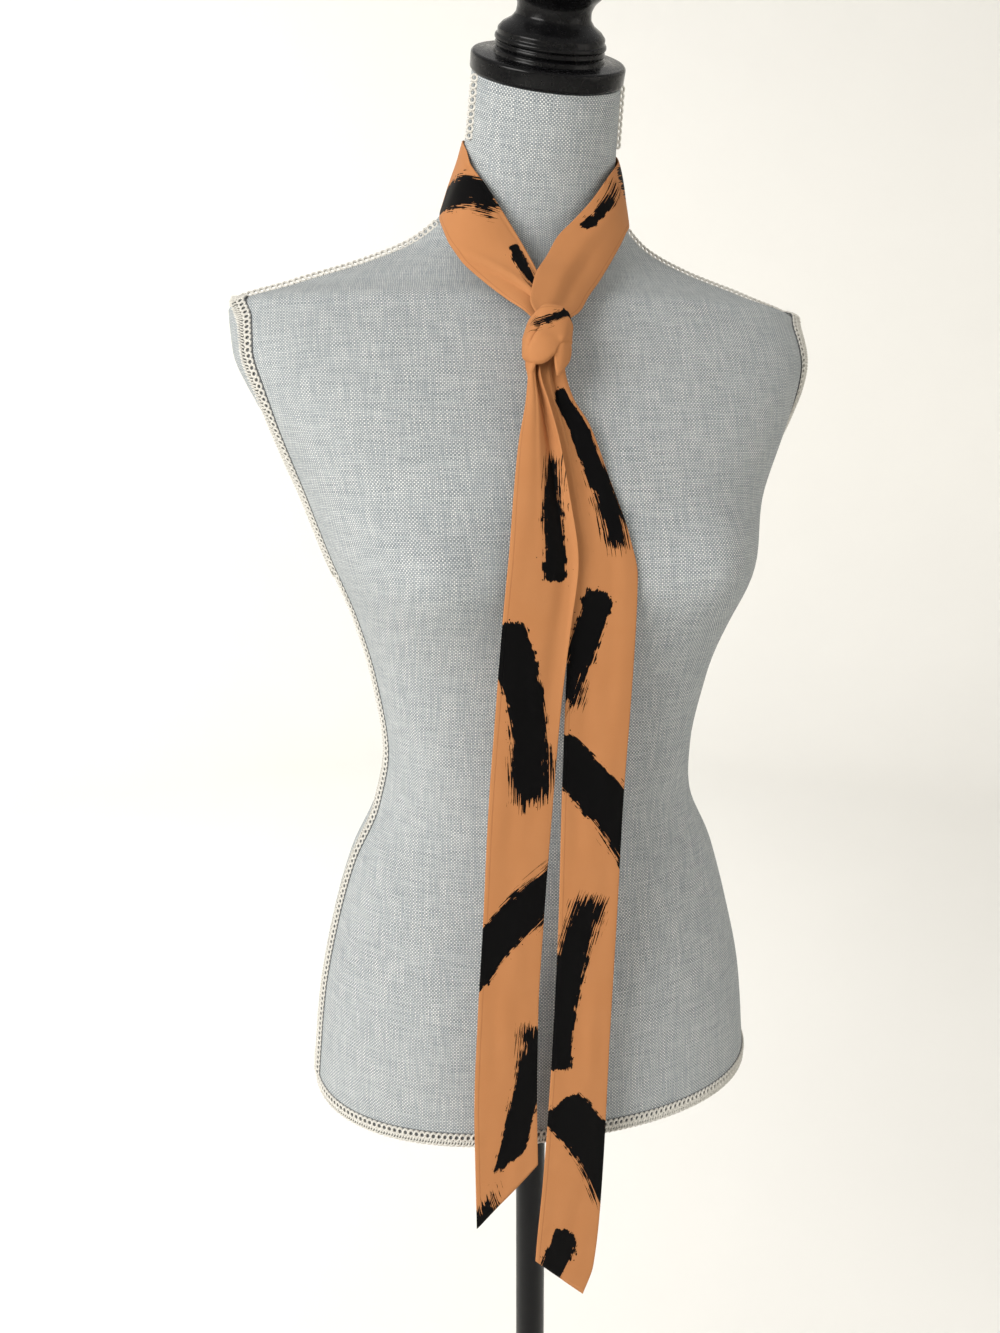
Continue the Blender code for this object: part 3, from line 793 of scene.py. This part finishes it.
def tubeParts(grid, outward, along, marks, half, closedEnd=False, ring=False):
    rows, columns = grid.shape[:2]
    shares = acrossShares(columns)
    cloth = tubeSetup["cloth"]
    normals = gridNormals(grid, outward)
    if ring:
        wrapped = np.concatenate([grid[-1:], grid, grid[:1]], 0)
        normals = gridNormals(wrapped, np.concatenate([outward[-1:], outward, outward[:1]], 0))[1:-1]
    profile = layerProfile(shares)[None, :, None]
    halves = np.broadcast_to(np.asarray(half, float), (rows,))[:, None, None]
    outer = loopPoints(grid, normals, profile * halves)
    inner = loopPoints(shrunk(grid, cloth), normals, profile * (halves - cloth))
    if closedEnd:
        inner[-1] = inner[-2] + (inner[-1] - inner[-2]) * 0.6
    size = outer.shape[1]
    around = np.concatenate([shares, 2 - shares[-2:0:-1], [2.0]]) * tubeSetup["width"]
    faces = []
    uv = []
    total = rows * size
    span = rows if ring else rows - 1
    alongAt = np.append(along, along[-1] + along[1] - along[0])
    for base, flip in ((0, False), (total, True)):
        for i in range(span):
            n = (i + 1) % rows
            for j in range(size):
                k = (j + 1) % size
                face = [base + i * size + j, base + i * size + k, base + n * size + k, base + n * size + j]
                corner = [(around[j], alongAt[i]), (around[j + 1], alongAt[i]),
                          (around[j + 1], alongAt[i + 1]), (around[j], alongAt[i + 1])]
                faces.append(tuple(face[::-1] if flip else face))
                uv += corner[::-1] if flip else corner
        for j in range(columns - 1 if closedEnd else 0):
            first = base + (rows - 1) * size
            corners = (j, j + 1, (size - j - 1) % size, (size - j) % size)
            face = [first + k for k in dict.fromkeys(corners)]
            faces.append(tuple(face[::-1] if flip else face))
            uv += [(around[j], along[-1])] * len(face)
    rims = [] if ring else [0] if closedEnd else [0, rows - 1]
    for i in rims:
        for j in range(size):
            k = (j + 1) % size
            a = i * size
            face = [a + j, total + a + j, total + a + k, a + k]
            faces.append(tuple(face if i == 0 else face[::-1]))
            uv += [(around[j], along[i])] * 4
    points = np.concatenate([outer.reshape(-1, 3), inner.reshape(-1, 3)])
    across = np.tile(around[:size], rows * 2)
    down = np.tile(np.repeat(along, size), 2)
    faceOutward(points, faces, uv)
    return points, faces, uv, inkOf(down, across, marks)


def faceOutward(points, faces, uv):  # turns a tube over that came out inside out
    volume = sum(np.dot(points[f[0]], np.cross(points[f[1]], points[f[2]])) for f in faces)
    if volume < 0:
        start = 0
        for n, face in enumerate(faces):
            faces[n] = face[::-1]
            uv[start:start + len(face)] = uv[start:start + len(face)][::-1]
            start += len(face)


def scarfPiece(name, parts, nodes):
    points, faces = joined([part[:2] for part in parts])
    uv = [corner for part in parts for corner in part[2]]
    printed = np.concatenate([part[3] for part in parts])
    piece = meshPiece(name, points, faces, scarfCloth, uv, printed)
    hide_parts(*nodes)
    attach(piece, "root")
    return piece


# Each mark: along, across, length and width in mm, degrees, and how far its middle bows.
def inkOf(down, across, marks):
    turnover = 2 * tubeSetup["width"]
    found = np.tile([-30.0, 0.0, 0.0, 0.0], (len(down), 1))
    for number, (markAlong, markAcross, length, width, turned, bow) in enumerate(marks):
        a = down - markAlong
        b = (across - markAcross + turnover / 2) % turnover - turnover / 2
        c, s = cos(radians(turned)), sin(radians(turned))
        run = a * c + b * s
        beside = b * c - a * s - bow * (1 - (2 * run / length) ** 2)
        corner = min(width, length) * 0.3
        p = np.abs(run) - length / 2 + corner
        q = np.abs(beside) - width / 2 + corner
        depth = corner - np.hypot(np.maximum(p, 0), np.maximum(q, 0)) - np.minimum(np.maximum(p, q), 0)
        dry = 0.08 + softStep(run / length, -0.28, 0.6)
        nearer = depth > found[:, 0]
        found[nearer] = np.stack([depth, run, beside + 61 * number, dry], -1)[nearer]
    return found


def pushedClear(grid, distance):  # cloth never nearer to the form than this
    moved = grid.copy()
    for index in np.ndindex(grid.shape[:2]):
        point = Vector(grid[index])
        place, normal, _, _ = formTree.find_nearest(point)
        if (point - place).dot(normal) < distance:
            moved[index] = place + normal * distance
    return moved


# Two tails. Rows are the left edge's and right edge's place, then how far the middle of the cloth
# stands in front of the pole. Folds are their kind, share across at the knot and below, height,
# spread and how far down they last. A pleat raises all the cloth to its left.
leftTail = {
    "rows": (
        (-26.5, 1330, -20.5, 1330, 99.5),
        (-28.5, 1316, -22.2, 1316, 103),
        (-31, 1300, -18.4, 1300, 107.5),
        (-36, 1279, -13.4, 1279, 112.5),
        (-41, 1250, -9.8, 1250, 121),
        (-46, 1215, -6.8, 1215, 130),
        (-50, 1180, -11, 1180, 132.2),
        (-53.5, 1135, -16, 1135, 131.5),
        (-57.6, 1078, -20, 1078, 130),
        (-61, 1007, -24.5, 1007, 128.5),
        (-64.6, 946, -27.6, 946, 128),
        (-67.2, 880, -28.2, 892, 128),
        (-66.4, 803.5, -27.5, 842, 128),
    ),
    "folds": (
        ("fold", 0.30, 0.26, 1.9, 0.22, 210),
        ("fold", 0.52, 0.46, 0.9, 0.06, 120),
        ("fold", 0.79, 0.83, -6.0, 0.15, 185),
        ("fold", 1.00, 1.00, 3.6, 0.035, 190),
    ),
    "marks": (
        (94, 30, 68, 14, 176, 3), (200, 13, 108, 23, 14, 6), (330, 22, 104, 27, 134, 6),
        (440, 29, 92, 20, 169, -4), (524, 12, 60, 24, 204, 4), (120, 58, 60, 14, 20, 3),
        (380, 62, 70, 15, -12, 3),
    ),
    "seed": 3.1,
}
rightTail = {
    "rows": (
        (-18, 1332, -6.5, 1332, 95),
        (-23.5, 1318, -6, 1318, 97.5),
        (-22.5, 1303, -2.2, 1303, 100.6),
        (-19.5, 1288, 6.6, 1288, 104.2),
        (-15, 1260, 15.5, 1260, 112.5),
        (-13, 1227, 25, 1227, 123),
        (-12, 1205, 28.7, 1205, 127.2),
        (-11.6, 1180, 28.2, 1180, 128),
        (-13, 1130, 26, 1130, 128),
        (-14.4, 1076, 23, 1076, 128),
        (-15.6, 1007, 20.7, 1007, 128),
        (-18.6, 927, 17.7, 927, 128),
        (-24.2, 830, 14.4, 824, 128),
        (-28, 786, 9.5, 762, 128),
        (-28.9, 773, 2.8, 742, 128),
    ),
    "folds": (
        ("pleat", 0.45, 0.30, 2.8, 0.022, 95),
        ("fold", 0.42, 0.27, 0.7, 0.020, 95),
        ("fold", 0.58, 0.44, -1.6, 0.09, 130),
        ("fold", 0.86, 0.80, 1.0, 0.12, 190),
    ),
    "marks": (
        (68, 28, 86, 17, 4, 3), (166, 9, 66, 17, -17, 0), (262, 24, 108, 27, 40, 6),
        (372, 12, 112, 22, 170, 5), (482, 28, 80, 30, 34, 4), (574, 13, 66, 16, -10, 0),
        (90, 60, 60, 13, -16, 3), (300, 58, 70, 15, 10, 3),
    ),
    "seed": 7.7,
}


def tailGrid(tail):
    leftX, leftZ, rightX, rightZ, reach = np.array(tail["rows"], float).T
    down = leftZ[0] / 2 + rightZ[0] / 2 - leftZ / 2 - rightZ / 2
    at = np.linspace(0, down[-1], tubeSetup["tailRows"])
    edges = [eased(down, values, at)[:, None] for values in (leftX, leftZ, rightX, rightZ, reach)]
    shares = acrossShares(tubeSetup["across"])[None, :]
    x = edges[0] * (1 - shares) + edges[2] * shares
    z = edges[1] * (1 - shares) + edges[3] * shares
    y = -edges[4] - tailFolds(tail, at[:, None], shares)
    return np.stack([x, y, z], -1), at


def tailFolds(tail, at, shares):
    out = np.zeros(np.broadcast_shapes(at.shape, shares.shape))
    for kind, top, below, height, wide, lasting in tail["folds"]:
        centre = top + (below - top) * softStep(at, 0, lasting)
        fade = np.exp(-((at / lasting) ** 2) * 2.2) * softStep(at, -4, 18)
        if kind == "pleat":
            shape = 1 - softStep(shares, centre - wide, centre + wide)
        else:
            shape = hump(shares, centre, wide)
        out += height * fade * shape
    seed = tail["seed"]
    pucker = np.sin(shares * 17 + seed + np.sin(at / 31 + seed) * 1.4) * np.sin(at / 23 + seed * 2)
    ripple = np.sin(shares * 8 + at / 57 + seed) * np.sin(at / 71 + seed)
    quiet = softStep(at, 30, 120) * np.sin(np.pi * shares) ** 0.5
    out += quiet * (0.16 * pucker + 0.38 * ripple)
    return out


def makeTail(name, tail, node):
    grid, at = tailGrid(tail)
    thinner, last = tubeSetup["pinch"]
    half = tubeSetup["half"] - thinner * softStep(at, at[-1] - last, at[-1])
    grid = pushedClear(grid, tubeSetup["clear"])
    outward = np.zeros_like(grid)
    outward[..., 1] = -1
    part = tubeParts(grid, outward, at, tail["marks"], half, closedEnd=True)
    piece = scarfPiece(name, [part], [node])


# The band round the neck, from the knot's left side round the back to its right side. Rows are the
# lower edge, the upper edge, and how far the middle stands out. The left stretch has a flap along
# its lower edge, under the main fold, and its pressed upper edge rolls back. Rolls are height, share
# across, spread, and how far along they fade out, from and to. Ridges are height, share across,
# spread, distance from the right end and their own length.
neckBand = {
    "left": (
        (-20.5, -88, 1344.5, -8.5, -85, 1348.5, 0.5),
        (-25.4, -84.5, 1350, -11, -79.5, 1361, 1.0),
        (-34.8, -73.5, 1358.6, -16, -73, 1374, 1.6),
        (-45.3, -65, 1368.6, -21.5, -63.5, 1388.5, 2.4),
        (-57.2, -54, 1382.5, -29.5, -54, 1405.5, 3.0),
        (-62, -42.4, 1394.2, -38.5, -45.5, 1423, 2.6),
        (-63, -27, 1406, -46.8, -33, 1440, 0.6),
        (-60.4, -6, 1415.5, -46.4, -14, 1455, -1.2),
        (-54, 19, 1424.5, -41, 7, 1462, 0.2),
        (-33, 43, 1430.5, -25, 23, 1465, 0.6),
    ),
    "back": ((0, 51.5, 1432.5, 0, 28.5, 1466, 0.5),),
    "right": (
        (-6, -96.5, 1341.5, -22, -94.5, 1347.5, 0.6),
        (-1.2, -91, 1345.8, -23.8, -89, 1354.5, 1.0),
        (6.5, -83, 1350.5, -22, -85, 1361.5, 2.0),
        (14.9, -73.5, 1360.7, -18, -79.5, 1371.5, 2.6),
        (23.1, -66.5, 1369.9, -9.3, -70, 1382.5, 3.2),
        (31.2, -60.6, 1380.5, -1.5, -63.5, 1394, 3.2),
        (40.1, -53, 1392.7, 9.5, -59, 1404.5, 3.0),
        (47.8, -43.5, 1403.5, 21, -56, 1416, 2.6),
        (52.8, -31, 1407.5, 33, -51, 1431, 2.2),
        (56.8, -15, 1411.5, 44.6, -33, 1445, 0.8),
        (58.8, 2, 1417.5, 47.6, -12, 1454, -0.6),
        (53.5, 22, 1425, 41.5, 7.5, 1461.5, 0.2),
        (33, 43, 1430.5, 25, 23, 1465, 0.6),
    ),
    "middle": (0, -15, 1400),
    "rows": 240,
    "flap": (2.0, 0.52, 0.56, 84),  # how far back, share across at the knot, its narrowing, length
    "flapRolls": ((0.7, 0.09, 0.07, 86, 36), (-0.7, 0.30, 0.13, 70, 30)),  # share from the flap's line
    "edgeRoll": (-0.45, 0.93, 0.018, 150, 120),
    "ridges": ((0.9, 0.62, 0.14, 48, 42), (-1.1, 0.36, 0.12, 30, 34)),
    "marks": (
        (30, 32, 34, 9, 184, 2), (104, 24, 70, 19, 148, 4), (170, 10, 44, 12, 10, 0),
        (226, 28, 72, 14, 6, 3), (290, 12, 74, 18, 30, 4), (348, 31, 34, 9, 178, 2),
    ),
}


def neckFolds(at, shares, whole):
    out = np.zeros(np.broadcast_shapes(at.shape, shares.shape))
    deep, start, narrowing, last = neckBand["flap"]
    line = start - narrowing * softStep(at, 4, last)
    step = softStep(shares, line - 0.022, line + 0.022)
    out -= deep * (1 - step) * np.exp(-np.clip(line - shares, 0, 1) * 2.2) * softStep(-at, -86, -56)
    for height, share, wide, gone, full in neckBand["flapRolls"]:
        out += height * hump(shares - line, share, wide) * softStep(-at, -gone, -full)
    height, share, wide, gone, full = neckBand["edgeRoll"]
    out += height * hump(shares, share, wide) * softStep(-at, -gone, -full)
    for height, share, wide, place, long in neckBand["ridges"]:
        out += height * hump(shares, share, wide) * hump(whole - at, place, long)
    out += 0.25 * np.sin(shares * 9 + at / 19) * np.sin(at / 33 + 1)
    return out


def makeNeckBand():
    rows = np.array(neckBand["left"] + neckBand["back"] + neckBand["right"][::-1], float)
    low, up, crown = rows[:, :3], rows[:, 3:6], rows[:, 6]
    middle = (low + up) / 2
    length = runLength(middle)
    at = np.linspace(0, length[-1], neckBand["rows"])
    low = np.stack([eased(length, low[:, k], at) for k in range(3)], -1)[:, None]
    up = np.stack([eased(length, up[:, k], at) for k in range(3)], -1)[:, None]
    shares = acrossShares(tubeSetup["across"])
    grid = low * (1 - shares)[None, :, None] + up * shares[None, :, None]
    outward = grid - np.array(neckBand["middle"])
    normals = gridNormals(grid, outward)
    bulge = eased(length, crown, at)[:, None] * np.sin(pi * shares)[None]
    grid = grid + normals * (bulge + neckFolds(at[:, None], shares[None], at[-1]))[..., None]
    grid = pushedClear(grid, tubeSetup["clear"])
    part = tubeParts(grid, outward, at, neckBand["marks"], tubeSetup["half"])
    piece = scarfPiece("scarfNeckBand", [part], ["scarf_neck_left", "scarf_neck_right"])
    return piece


# The knot: a wrap over the end of the turn below it. Sections are centre's x and y, half width and
# half depth. Rims are degrees from the viewer's right through the front, upper and lower height.
knotWrap = {
    "top": (-11.4, -89.8, 11.4, 10.8),
    "middle": (-15.6, -96.3, 13.6, 11.8),
    "bottom": (-17.3, -100.8, 13.8, 10.4),
    "heights": (1350, 1318),  # where the top and bottom sections lie
    "length": 88,  # round each wrap
    "arc": 0.25,  # a degree's length for the creases
    "swell": 0.5,
    "curlReach": (3.2, 3.4),
    "square": 2.4,
    "around": 220,
    "over": {
        "rim": (
            (0, 1341, 1329), (36, 1344.5, 1330.2), (46, 1347, 1330.4), (54, 1349, 1330.2),
            (64, 1350, 1329.8), (74, 1351.2, 1328.8), (82, 1351.5, 1326.4), (89, 1351.8, 1323),
            (96, 1352, 1321), (106, 1352.3, 1319.9), (122, 1352.2, 1319.4), (142, 1351.5, 1319.7),
            (166, 1348.5, 1320.4), (194, 1346, 1321.8), (225, 1343.5, 1322.5), (270, 1343.5, 1325),
            (320, 1342, 1328), (360, 1341, 1329),
        ),
        "inset": 0.95,
        "half": 0.85,
        "curl": (1.5, 1.9),
        "marks": ((22, 8, 30, 7, 22, 2), (66, 30, 12, 8, 30, 0)),
        # from degrees and height, to degrees and height, depth, spread, all in the wrap's surface
        "creases": (
            ((126, 1339.5), (150, 1330.5), -1.5, 1.25),
            ((131, 1341.5), (118, 1344.5), -0.5, 1.6),
            ((138, 1341), (162, 1333), 0.7, 2.4),
            ((120, 1335), (146, 1326), 0.5, 2.6),
            ((76, 1330), (96, 1338), -0.9, 3.2),
            ((58, 1332.5), (46, 1338), -0.6, 3.6),
            ((70, 1333.5), (58, 1334.5), 0.7, 1.8),
            ((165, 1322.6), (112, 1322), -0.5, 1.0),
            ((20, 1334), (46, 1332), -0.9, 4.0),
        ),
    },
    "under": {
        "rim": (
            (0, 1339, 1321), (20, 1339, 1319.4), (34, 1339, 1318), (46, 1339, 1316.4),
            (57, 1338, 1314.6), (66, 1337, 1313.4), (73, 1337, 1313.4), (77, 1337, 1315.6),
            (81, 1337, 1319.6), (86, 1337, 1324), (92, 1337, 1326), (126, 1337, 1324),
            (132, 1337, 1319.6), (146, 1337, 1315), (158, 1337, 1311.8), (166, 1337, 1310.8),
            (175, 1337, 1313.6), (186, 1337, 1316), (198, 1337, 1318.2), (218, 1337, 1320),
            (300, 1338, 1321), (360, 1339, 1321),
        ),
        "inset": 2.5,
        "half": 0.5,
        "curl": (0.6, 0.9),
        "marks": (),
        "creases": (((66, 1330), (70, 1316), 0.5, 3.0), ((10, 1327), (48, 1325), 1.3, 6.5)),
    },
}


def knotCreases(setup, degrees, heights):
    out = np.zeros(np.broadcast_shapes(degrees.shape, heights.shape))
    arc = knotWrap["arc"]
    for start, end, depth, wide in setup["creases"]:
        a = np.array([start[0] * arc, start[1]])
        line = np.array([end[0] * arc, end[1]]) - a
        x = degrees * arc - a[0]
        z = heights - a[1]
        t = np.clip((x * line[0] + z * line[1]) / (line @ line), 0, 1)
        away = np.hypot(x - t * line[0], z - t * line[1])
        out += depth * hump(away, 0, wide) * (1 - 0.5 * t)
    return out


def knotTurn(setup):
    columns = np.array(setup["rim"], float).T
    turn = np.linspace(0, 2 * pi, knotWrap["around"], endpoint=False)
    degrees = np.degrees(turn)
    upper = eased(columns[0], columns[1], degrees)[:, None]
    lower = eased(columns[0], columns[2], degrees)[:, None]
    shares = acrossShares(tubeSetup["across"])[None]
    z = upper + (lower - upper) * shares
    high, low = knotWrap["heights"]
    down = np.clip((high - z) / (high - low), 0, 1)
    spans = [np.interp(down, (0, 0.5, 1), values) for values in
             zip(knotWrap["top"], knotWrap["middle"], knotWrap["bottom"])]
    power = 2 / knotWrap["square"]
    side = np.cos(turn)[:, None]
    depth = np.sin(turn)[:, None]
    out = knotWrap["swell"] * np.sin(pi * down) + knotCreases(setup, degrees[:, None], z) - setup["inset"]
    for curl, away, reach in zip(setup["curl"], (upper - z, z - lower), knotWrap["curlReach"]):
        out = out - curl * (1 - softStep(away, 0, reach)) ** 2
    x = spans[0] + spans[2] * np.sign(side) * np.abs(side) ** power + out * side
    y = spans[1] - spans[3] * np.sign(depth) * np.abs(depth) ** power - out * depth
    outward = np.stack(np.broadcast_arrays(side, -depth, 0 * x), -1)
    along = np.linspace(0, knotWrap["length"], knotWrap["around"], endpoint=False)
    return tubeParts(np.stack([x, y, z], -1), outward, along, setup["marks"], setup["half"], ring=True)


def makeKnot():
    piece = scarfPiece("scarfKnot", [knotTurn(knotWrap["over"]), knotTurn(knotWrap["under"])],
                       ["scarf_knot_wrap"])


makeKnot()
makeTail("scarfTailLeft", leftTail, "scarf_tail_left")
makeTail("scarfTailRight", rightTail, "scarf_tail_right")
band = makeNeckBand()
print("scarf tied")

layBraid(treeOf(band))
print("braid laid")


# Black satin paint on turned wood, and powder coat on metal.
paintFinish = {
    "dust": {"Scale": 35, "Detail": 4, "Low": 0.48, "High": 0.78, "Strength": 0.10},
    "dustColour": (0.03, 0.03, 0.029),
    "rougher": (-0.07, 0.10),  # least and most, by the grain
}


def finishPaint(name, colour, roughness, grainScale, coat):
    material, tree, shader = newMaterial(name, roughness, coat=coat, specular=0.1)
    shader.inputs["Coat Roughness"].default_value = 0.12
    place = placeOf(tree)
    grain = placeGroup(tree, grainGroup, place, {"Scale": grainScale, "Detail": 3})
    dust = placeGroup(tree, patchGroup, place, paintFinish["dust"])["Mask"]
    tree.links.new(blendColour(tree, dust, colour, paintFinish["dustColour"]),
                   shader.inputs["Base Color"])
    least, most = paintFinish["rougher"]
    tree.links.new(spread(tree, grain["Tone"], 0, 1, roughness + least, roughness + most),
                   shader.inputs["Roughness"])
    bumpInto(tree, shader, grain["Height"], 0.12, 0.0003)
    return material


satinWood = finishPaint("black satin paint on wood", (0.003, 0.003, 0.0035), 0.22, 420, 0.12)
powderCoat = finishPaint("black powder coat", (0.006, 0.006, 0.0065), 0.36, 1900, 0.0)


# Turned pieces: radius and height up the piece's axis, from its underside.
turnedPieces = {
    "neckCap": {
        "node": "dress_form_neck_cap",
        "soft": ((21.6, 20), (21.2, 23.5), (22.6, 27.4), (26, 31), (29.5, 36), (31.5, 42), (31, 49),
                 (26, 57.5), (18, 63.6), (8, 67), (0.05, 68)),
        "hard": ((44, -10), (45.2, -8.8), (45.2, -1.2), (44, 0), (32.4, 0), (32.4, 2), (31, 2.8),
                 (32, 3.6), (32, 5), (31, 6.2), (32.4, 7), (32.2, 8.8), (31, 9.6), (31, 12),
                 (28.5, 14.6), (24, 17.2)),
        "segments": 96,
        "tilt": 30,
        "place": (0, -37, 1497),
        "slot": "black_wood",
    },
    "pole": {
        "node": "dress_form_pole",
        "soft": (),
        "hard": ((11, 40.3), (11, 821.7), (15, 827.7), (27, 832.7), (27, 840.7), (26, 841.7),
                 (0.05, 841.7)),
        "segments": 64,
        "tilt": 0,
        "place": (0, 0, 0),
        "slot": "black_metal",
    },
    "roundBase": {
        "node": "dress_form_base",
        "soft": (),
        "hard": ((178.5, 0), (180, 1.5), (180, 7), (178, 9.4), (174, 11), (150, 13), (60, 17),
                 (34, 18.2), (26, 20), (21, 22.6), (19, 26), (19, 38), (17, 40), (0.05, 40)),
        "segments": 128,
        "tilt": 0,
        "place": (0, 0, 0),
        "slot": "black_metal",
    },
}


def makeTurned(name, setup, material):
    rows = list(setup["hard"])
    if setup["soft"]:
        soft = np.array(setup["soft"], float)
        order = np.arange(len(soft))
        at = np.linspace(0, order[-1], order[-1] * 4 + 1)
        rows += list(zip(eased(order, soft[:, 0], at), eased(order, soft[:, 1], at)))
    bpy.ops.object.select_all(action="DESELECT")
    radius, height = rows[0]
    bpy.ops.mesh.primitive_circle_add(vertices=setup["segments"], radius=radius * mm,
                                      fill_type="NGON", location=(0, 0, height * mm))
    piece = bpy.context.object
    piece.name = name
    bpy.ops.object.transform_apply(location=True)
    bpy.ops.object.mode_set(mode="EDIT")
    bpy.ops.mesh.select_all(action="SELECT")
    for nextRadius, nextHeight in rows[1:]:
        lift = (0, 0, (nextHeight - height) * mm)
        bpy.ops.mesh.extrude_region_move(TRANSFORM_OT_translate={"value": lift})
        size = nextRadius / radius
        bpy.ops.transform.resize(value=(size, size, 1), center_override=(0, 0, nextHeight * mm))
        radius, height = nextRadius, nextHeight
    bpy.ops.mesh.select_all(action="SELECT")
    bpy.ops.mesh.remove_doubles(threshold=0.00001)
    bpy.ops.mesh.normals_make_consistent(inside=False)
    bpy.ops.object.mode_set(mode="OBJECT")
    piece.rotation_euler[0] = radians(setup["tilt"])
    piece.location = Vector(setup["place"]) * mm
    bpy.ops.object.transform_apply(location=True, rotation=True, scale=True)
    bevel = piece.modifiers.new("softened edges", "BEVEL")
    bevel.width = 0.0005
    bevel.segments = 2
    bevel.limit_method = "ANGLE"
    bevel.angle_limit = radians(30)
    bpy.ops.object.modifier_apply(modifier=bevel.name)
    bpy.ops.object.shade_smooth_by_angle(angle=radians(32))
    piece.data.materials.append(material)
    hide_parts(setup["node"])
    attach(piece, "root")


for pieceName, paint in (("neckCap", satinWood), ("pole", powderCoat), ("roundBase", powderCoat)):
    makeTurned(pieceName, turnedPieces[pieceName], paint)
print("stand turned")


# Pale studio: a round floor that curves up into its own wall, so that every side has one.
studio = {
    "radius": 3.4,
    "curve": 1.2,
    "height": 5.2,
    "around": 128,
    "paint": (0.86, 0.85, 0.82),
    "sky": (1.0, 0.985, 0.96),
    "skyStrength": 0.55,
    # name, place, aim, size, power and colour
    "lights": (
        ("windowLight", (-2.4, -1.6, 2.05), (0, 0, 1.0), 2.0, 94, (1.0, 0.985, 0.96)),
        ("fillLight", (2.3, -1.6, 1.5), (0, 0, 1.1), 2.0, 11, (1.0, 0.96, 0.9)),
        ("wallLight", (-1.0, 1.0, 3.2), (-1.6, 4.4, 1.2), 2.2, 80, (1.0, 0.99, 0.97)),
    ),
}


def studioWall():
    around = studio["around"]
    points = [(0, 0, 0)]
    faces = []
    rows = [(studio["radius"], 0)]
    for a in np.linspace(0, pi / 2, 17)[1:]:
        rows.append((studio["radius"] + studio["curve"] * sin(a), studio["curve"] * (1 - cos(a))))
    rows.append((studio["radius"] + studio["curve"], studio["height"]))
    for row, (r, z) in enumerate(rows):
        for j in range(around):
            a = 2 * pi * j / around
            points.append((r * cos(a) / mm, r * sin(a) / mm, z / mm))
            k = (j + 1) % around
            if row == 0:
                faces.append((0, 1 + j, 1 + k))
            else:
                low = 1 + (row - 1) * around
                faces.append((low + j, low + around + j, low + around + k, low + k))
    return points, faces


def makeStudio():
    material, tree, shader = newMaterial("pale plaster", 0.95)
    tone = spread(tree, noise(tree, placeOf(tree), 1.5, 2), 0.3, 0.7)
    paint = studio["paint"]
    tree.links.new(blendColour(tree, tone, tuple(c * 0.985 for c in paint), paint),
                   shader.inputs["Base Color"])
    points, faces = studioWall()
    wall = meshPiece("studioFloor", points, faces, material)
    world = bpy.data.worlds.new("studio")
    world.use_nodes = True
    back = world.node_tree.nodes["Background"]
    back.inputs["Color"].default_value = (*studio["sky"], 1)
    back.inputs["Strength"].default_value = studio["skyStrength"]
    bpy.context.scene.world = world
    for name, place, aim, size, power, colour in studio["lights"]:
        lamp = bpy.data.lights.new(name, "AREA")
        lamp.shape = "DISK"
        lamp.size = size
        lamp.energy = power
        lamp.color = colour
        shown = bpy.data.objects.new(name, lamp)
        bpy.context.scene.collection.objects.link(shown)
        shown.location = place
        turn = Vector(aim) - Vector(place)
        shown.rotation_euler = turn.to_track_quat("-Z", "Y").to_euler()
        shown.visible_camera = False


makeStudio()
bpy.context.scene.view_settings.view_transform = "Standard"
print("studio lit")
